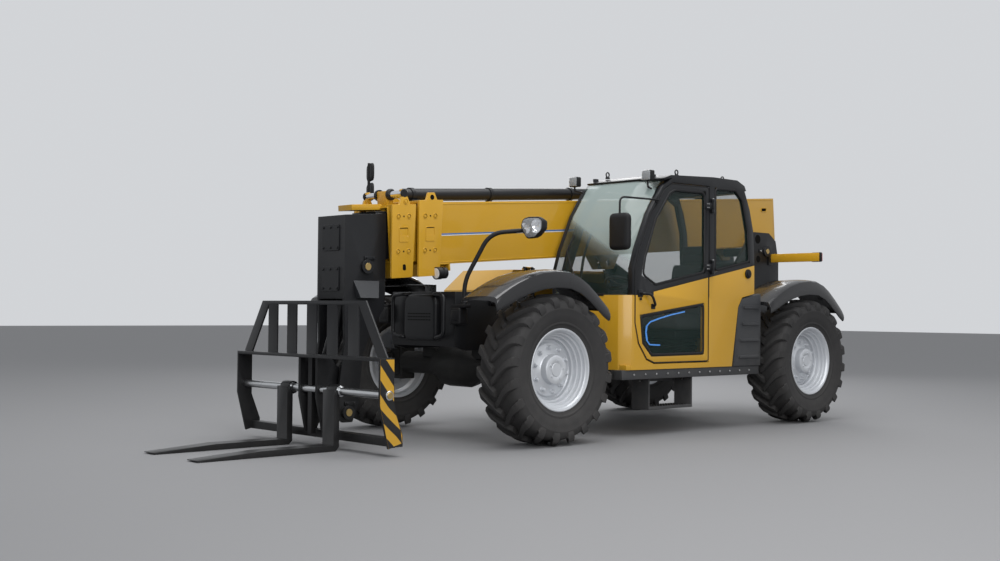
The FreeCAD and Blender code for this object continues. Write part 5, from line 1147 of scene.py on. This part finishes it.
for name, body, front, bottom, top in COLLARS:
    # The dark pieces are painted shade: near-black rings, discs and a slot stand in for the shade
    # in holes and crevices, and a thin strip under the recess's top edge is a painted shadow of
    # that edge.
    paint, dark = bmesh.new(), bmesh.new()
    for side in (1, -1):
        face = side * collar_half
        for z in (0.440, 0.166):
            x = front - lean * (z - bottom)
            for back in (0.064, 0.168):
                gasket(paint, circle(x - back, z, 0.023), "side", face, 0.007, 0.004, side)
                disc(paint, (x - back, face - side * 0.001, z), (0, side, 0),
                     0.0120, 0.0035, 20, 0.3)
                gasket(dark, circle(x - back, z, 0.0165), "side", face - side * 0.0005, 0.004,
                       0.0011, side)
            disc(dark, (x - 0.116, face, z), (0, side, 0), 0.007, 0.001, 16, 0.3)
        low_z, high_z = 0.238, 0.358
        x = front - lean * (low_z - bottom)
        pocket = [(x - 0.068, low_z), (x - 0.164, low_z),
                  (x - 0.164 - lean * 0.12, high_z), (x - 0.068 - lean * 0.12, high_z)]
        gasket(paint, rounded(pocket, 0.012), "side", face, 0.008, 0.004, side)
        slab(paint, [(x - 0.072, low_z + 0.006), (x - 0.160, low_z + 0.006),
                     (x - 0.162, low_z + 0.050), (x - 0.074, low_z + 0.050)], "side",
             face - side * 0.001, face + side * 0.0035, 0.001)
        slab(dark, [(x - 0.080, high_z - 0.014), (x - 0.170, high_z - 0.014),
                    (x - 0.170, high_z - 0.009), (x - 0.080, high_z - 0.009)], "side",
             face - side * 0.001, face + side * 0.0006)
        ear = (front - lean * (top + 0.030 - bottom) - 0.132, face, top + 0.022)
        if name == "outer":
            disc(dark, ear, (0, side, 0), 0.021, 0.001, 24, 0.3)
        else:
            gasket(paint, circle(ear[0], ear[2], 0.024), "side", face, 0.006, 0.004, side)
            disc(paint, ear, (0, side, 0), 0.014, 0.006, 24, 0.3)
            x = front - lean * (0.04 - bottom) - 0.125
            slab(dark, rounded([(x - 0.017, 0.018), (x + 0.017, 0.018), (x + 0.015, 0.066),
                                (x - 0.015, 0.066)], 0.014), "side", face - side * 0.001,
                 face + side * 0.0008)
        bar(paint, [(front - 0.004, face - side * 0.012, bottom + 0.01),
                    (front - lean * (top - bottom) - 0.004, face - side * 0.012, top - 0.01)],
            0.006, 0.01, 8)
    made(name + "_collar_pads", paint, machine_yellow, body, boom_place)
    made(name + "_collar_painted_shade", dark, painted_hole_shade, body, boom_place)
line_blue = coat("line_blue", (0.030, 0.13, 0.36), 0.30, gloss_coat=0.4, shade=0.05)
line_white = coat("line_white", (0.62, 0.63, 0.62), 0.32, gloss_coat=0.4, shade=0.04)
blue, white, seams, hand_hole_shade = [bmesh.new() for k in range(4)]
hand_hole = rounded([(-0.150, 0.410), (-0.050, 0.410), (-0.050, 0.456), (-0.150, 0.456)], 0.020)
for side in (1, -1):
    low_y, high_y = sorted((side * 0.2195, side * 0.2212))
    block(blue, (2.30, low_y, 0.286), (4.355, high_y, 0.297))
    block(white, (2.30, low_y, 0.278), (4.355, high_y, 0.2845))
    for z in (0.066, 0.536):
        bar(seams, [(-0.25, side * 0.2195, z), (4.38, side * 0.2195, z)], 0.004, 0.01, 8)
    gasket(seams, hand_hole, "side", side * 0.220, 0.009, 0.005, side)
    # The hand holes are not cut: a near-black sheet in each is painted shade.
    slab(hand_hole_shade, hand_hole, "side", side * 0.219, side * 0.2206)
made("boom_blue_line", blue, line_blue, "boom", boom_place)
made("boom_white_line", white, line_white, "boom", boom_place)
made("boom_weld_seams", seams, machine_yellow, "boom", boom_place)
made("boom_hand_hole_shade", hand_hole_shade, painted_hole_shade, "boom", boom_place)
telescope_height = 0.621
bands = bmesh.new()
for x in (0.60, 1.60, 2.60, 3.60, 4.46):
    ring = [(0.052, -0.018), (0.060, -0.018), (0.060, 0.018), (0.052, 0.018)]
    first = len(bands.verts)
    turned(bands, ring, 40)
    bands.verts.ensure_lookup_table()
    for vert in bands.verts[first:]:
        vert.co = Vector((x + vert.co.y, vert.co.x, telescope_height + vert.co.z))
made("telescope_bands", bands, satin_black, "boom", boom_place)
ears, bushes = bmesh.new(), bmesh.new()
rod_pin = 4.722
block(ears, (4.688, -0.064, 0.530), (4.756, 0.064, 0.652), 0.008)
for side in (1, -1):
    low_y, high_y = sorted((side * 0.205, side * 0.240))
    block(ears, (4.700, low_y, 0.530), (4.744, high_y, 0.655), 0.010)
    disc(bushes, (rod_pin, side * 0.064, telescope_height), (0, side, 0), 0.046, 0.030, 32, 0.3)
    disc(bushes, (rod_pin, side * 0.240, telescope_height), (0, side, 0), 0.034, 0.010, 32, 0.3)
made("telescope_rod_ears", ears, machine_yellow, "middle_section", boom_place)
made("telescope_rod_bushes", bushes, satin_black, "middle_section", boom_place)
hood, light, cover, bracket = bmesh.new(), bmesh.new(), bmesh.new(), bmesh.new()
for side in (1, -1):
    low_y, high_y = sorted((side * 0.150, side * 0.222))
    block(bracket, (4.260, low_y, 0.046), (4.400, high_y, 0.062), 0.003)
    block(bracket, (4.260, low_y, -0.006), (4.276, high_y, 0.055), 0.003)
    low_y, high_y = sorted((side * 0.150, side * 0.160))
    block(bracket, (4.260, low_y, -0.006), (4.400, high_y, 0.060), 0.003)
made("boom_lamp_bracket", bracket, machine_yellow, "boom", boom_place)
lamp_x, lamp_y, lamp_z = 4.405, 0.262, -0.020
disc(hood, (lamp_x - 0.050, lamp_y, lamp_z), (1, 0, 0), 0.046, 0.050, 32, 0.5)
block(hood, (4.335, 0.195, -0.012), (4.375, 0.262, 0.006), 0.004)
bowl(light, (lamp_x + 0.044, lamp_y, lamp_z), 0.040)
skin(hood, [[(lamp_x + reach, lamp_y + r * math.cos(math.pi * k / 16),
              lamp_z + r * math.sin(math.pi * k / 16)) for k in range(32)]
            for reach, r in ((0.0, 0.044), (0.001, 0.050), (0.046, 0.050), (0.046, 0.043),
                             (0.004, 0.042))])
disc(cover, (lamp_x + 0.043, lamp_y, lamp_z), (1, 0, 0), 0.042, 0.004, 32, 0.5)
made("boom_lamp_hood", hood, satin_black, "boom", boom_place)
made("boom_lamp_bowl", light, bowl_chrome, "boom", boom_place)
made("boom_lamp_cover", cover, lens_frosted, "boom", boom_place)

# Boom head
# A black box with two bolted covers on its face, a bent guard plate on each side and round pin
# caps with brass centres held by keeper plates. The tower's pins have the same caps.
covers, steel, brass = bmesh.new(), bmesh.new(), bmesh.new()
head_front = front_axle + 1.340
head_half = 0.180
for low, high in ((1.180, 1.370), (1.490, 1.690)):
    outline = rounded([(-0.110, low), (0.110, low), (0.110, high), (-0.110, high)], 0.02)
    slab(covers, outline, "front", head_front - 0.001, head_front + 0.008, 0.002)
    for y in (-0.092, 0.0, 0.092):
        for z in (low + 0.022, high - 0.022):
            hexagon(steel, (head_front + 0.008, y, z), (1, 0, 0), 0.019, 0.008)
for side in (1, -1):
    face = side * head_half
    for (x, z), stand, radius in (((1.140, 1.370), 0.202, 0.054), ((1.310, 0.262), 0.210, 0.054)):
        disc(covers, (front_axle + x, side * (stand - 0.002), z), (0, side, 0), radius, 0.008, 36)
        disc(brass, (front_axle + x, side * (stand + 0.006), z), (0, side, 0), 0.028, 0.004, 28)
        low_y, high_y = sorted((face, face + side * 0.010))
        block(covers, (front_axle + x - 0.085, low_y, z + 0.052),
              (front_axle + x + 0.020, high_y, z + 0.082), 0.003)
        for dx in (-0.066, 0.0):
            hexagon(steel, (front_axle + x + dx, face + side * 0.010, z + 0.067), (0, side, 0),
                    0.018, 0.008)
guards = bmesh.new()
for side in (1, -1):
    face = side * head_half
    fold = from_axle([(1015, 1262), (1260, 1262), (1230, 1130), (1060, 1130)])
    rings = [[(x, face - side * 0.001, z) for x, z in fold],
             [(x, face + side * (0.004 if z > 1.2 else 0.060), z) for x, z in fold]]
    skin(guards, rings)
made("boom_head_guards", guards, slate, "inner_section")
made("boom_head_covers", covers, satin_black, "inner_section")
made("boom_head_bolts", steel, satin_black, "inner_section")
made("boom_head_pin_centres", brass, pin_brass, "inner_section")
tower_half, cap_stand = 0.300, 0.310
tower_caps, tower_brass, tower_bolts = bmesh.new(), bmesh.new(), bmesh.new()
for side in (1, -1):
    for (x, z), radius in (((-3.930, 1.680), 0.058), ((-3.220, 0.800), 0.048)):
        low_y, high_y = sorted((side * tower_half, side * cap_stand))
        disc(tower_caps, (front_axle + x, side * cap_stand, z), (0, side, 0), radius, 0.010, 36)
        disc(tower_brass, (front_axle + x, side * 0.319, z), (0, side, 0), 0.026, 0.005, 28)
        block(tower_caps, (front_axle + x + 0.060, low_y, z - 0.020),
              (front_axle + x + 0.130, high_y, z + 0.020), 0.003)
        hexagon(tower_bolts, (front_axle + x + 0.110, side * cap_stand, z), (0, side, 0),
                0.020, 0.009)
# The plate's holes are near-black discs on its face: painted shade, not openings.
tower_hole_shade = bmesh.new()
for side in (1, -1):
    for (x, z), radius in (((-3.784, 1.800), 0.045), ((-3.792, 1.596), 0.034)):
        disc(tower_hole_shade, (front_axle + x, side * 0.2995, z), (0, side, 0), radius, 0.0020, 28)
made("tower_plate_hole_shade", tower_hole_shade, painted_hole_shade, "chassis")
made("tower_pin_caps", tower_caps, satin_black, "chassis")
made("tower_pin_centres", tower_brass, pin_brass, "chassis")
made("tower_keeper_bolts", tower_bolts, bolt_steel, "chassis")

# Carriage, shaft and forks
# Black welded plates, a bright shaft with a brass end and slanting yellow and black marks on the
# left plate.
for name in ("carriage", "forks"):
    finish(name, satin_black, 0.004)
shaft_steel = coat("bright_shaft", (0.55, 0.56, 0.57), 0.28, metal=1.0, shade=0.10, grain=200,
                   relief=0.0002)
mesh = bmesh.new()
shaft_steps = 48
SHAFT_ENDS = [
    # radius, place across
    (0.026, -0.941), (0.0286, -0.938), (0.0286, 0.938), (0.026, 0.941)]
rings = [[(r * math.cos(2 * math.pi * k / shaft_steps), y,
           r * math.sin(2 * math.pi * k / shaft_steps)) for k in range(shaft_steps)]
         for r, y in SHAFT_ENDS]
skin(mesh, rings)
for side in (1, -1):
    disc(mesh, (0, side * 0.940, 0), (0, side, 0), 0.035, 0.017, 40, 0.25)
    for y in (0.236, 0.362):
        disc(mesh, (0, side * y, 0), (0, side, 0), 0.041, 0.012, 40, 0.25)
    for y in (0.222, 0.374):
        disc(mesh, (0, side * y, 0), (0, side, 0), 0.034, 0.014, 40, 0.25)
move = Matrix.Translation((front_axle + 1.500, 0, 0.437))
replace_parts(made("fork_shaft_bar", mesh, shaft_steel, "fork_carriage", move),
            "fork_shaft")
mesh = bmesh.new()
for side in (1, -1):
    disc(mesh, (0, side * 0.956, 0), (0, side, 0), 0.024, 0.006, 32, 0.3)
made("fork_shaft_ends", mesh, pin_brass, "fork_carriage", move)
MARK_FRONT = [(0.060, 1.500), (0.370, 1.580), (0.700, 1.580)]
MARK_REAR = [(0.060, 1.372), (0.150, 1.372), (0.350, 1.450), (0.700, 1.450)]


def edge_at(line, height):
    """The place along an edge of the plate at this height."""
    for (z0, x0), (z1, x1) in zip(line, line[1:]):
        if z0 <= height <= z1:
            return x0 + (x1 - x0) * (height - z0) / (z1 - z0)
    return line[-1][1] if height > line[-1][0] else line[0][1]


yellow_marks, black_marks = bmesh.new(), bmesh.new()
base = [(front_axle + edge_at(MARK_REAR, z) + 0.004, z) for z in (0.096, 0.150, 0.350, 0.690)]
base += [(front_axle + edge_at(MARK_FRONT, z) - 0.004, z) for z in (0.690, 0.370, 0.066)]
slab(yellow_marks, base, "side", 0.9395, 0.9412)
mark_count, mark_start, mark_pitch = 5, -0.040, 0.205
mark_width, mark_rise = 0.100, 0.155
mark_foot, mark_top, mark_margin = 0.068, 0.690, 0.004
steps = 8
for k in range(mark_count):
    z = mark_start + mark_pitch * k
    low_line, high_line = [], []
    for j in range(steps + 1):
        t = j / steps
        for line, wide in ((low_line, 0.0), (high_line, mark_width)):
            height = min(mark_top, max(mark_foot, z + wide + mark_rise * t - 0.077))
            rear = edge_at(MARK_REAR, height) + mark_margin
            front = edge_at(MARK_FRONT, height) - mark_margin
            line.append((front_axle + rear + (front - rear) * t, height))
    if max(b[1] - a[1] for a, b in zip(low_line, high_line)) < 0.004:
        continue
    verts = [[black_marks.verts.new((a, y, b)) for a, b in line]
             for line, y in ((low_line, 0.9414), (low_line, 0.9420), (high_line, 0.9420),
                             (high_line, 0.9414))]
    for low, high in zip(verts, verts[1:]):
        for j in range(steps):
            black_marks.faces.new((low[j], low[j + 1], high[j + 1], high[j]))
made("carriage_yellow_marks", yellow_marks, machine_yellow, "fork_carriage")
made("carriage_black_marks", black_marks, satin_black, "fork_carriage")

low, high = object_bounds()
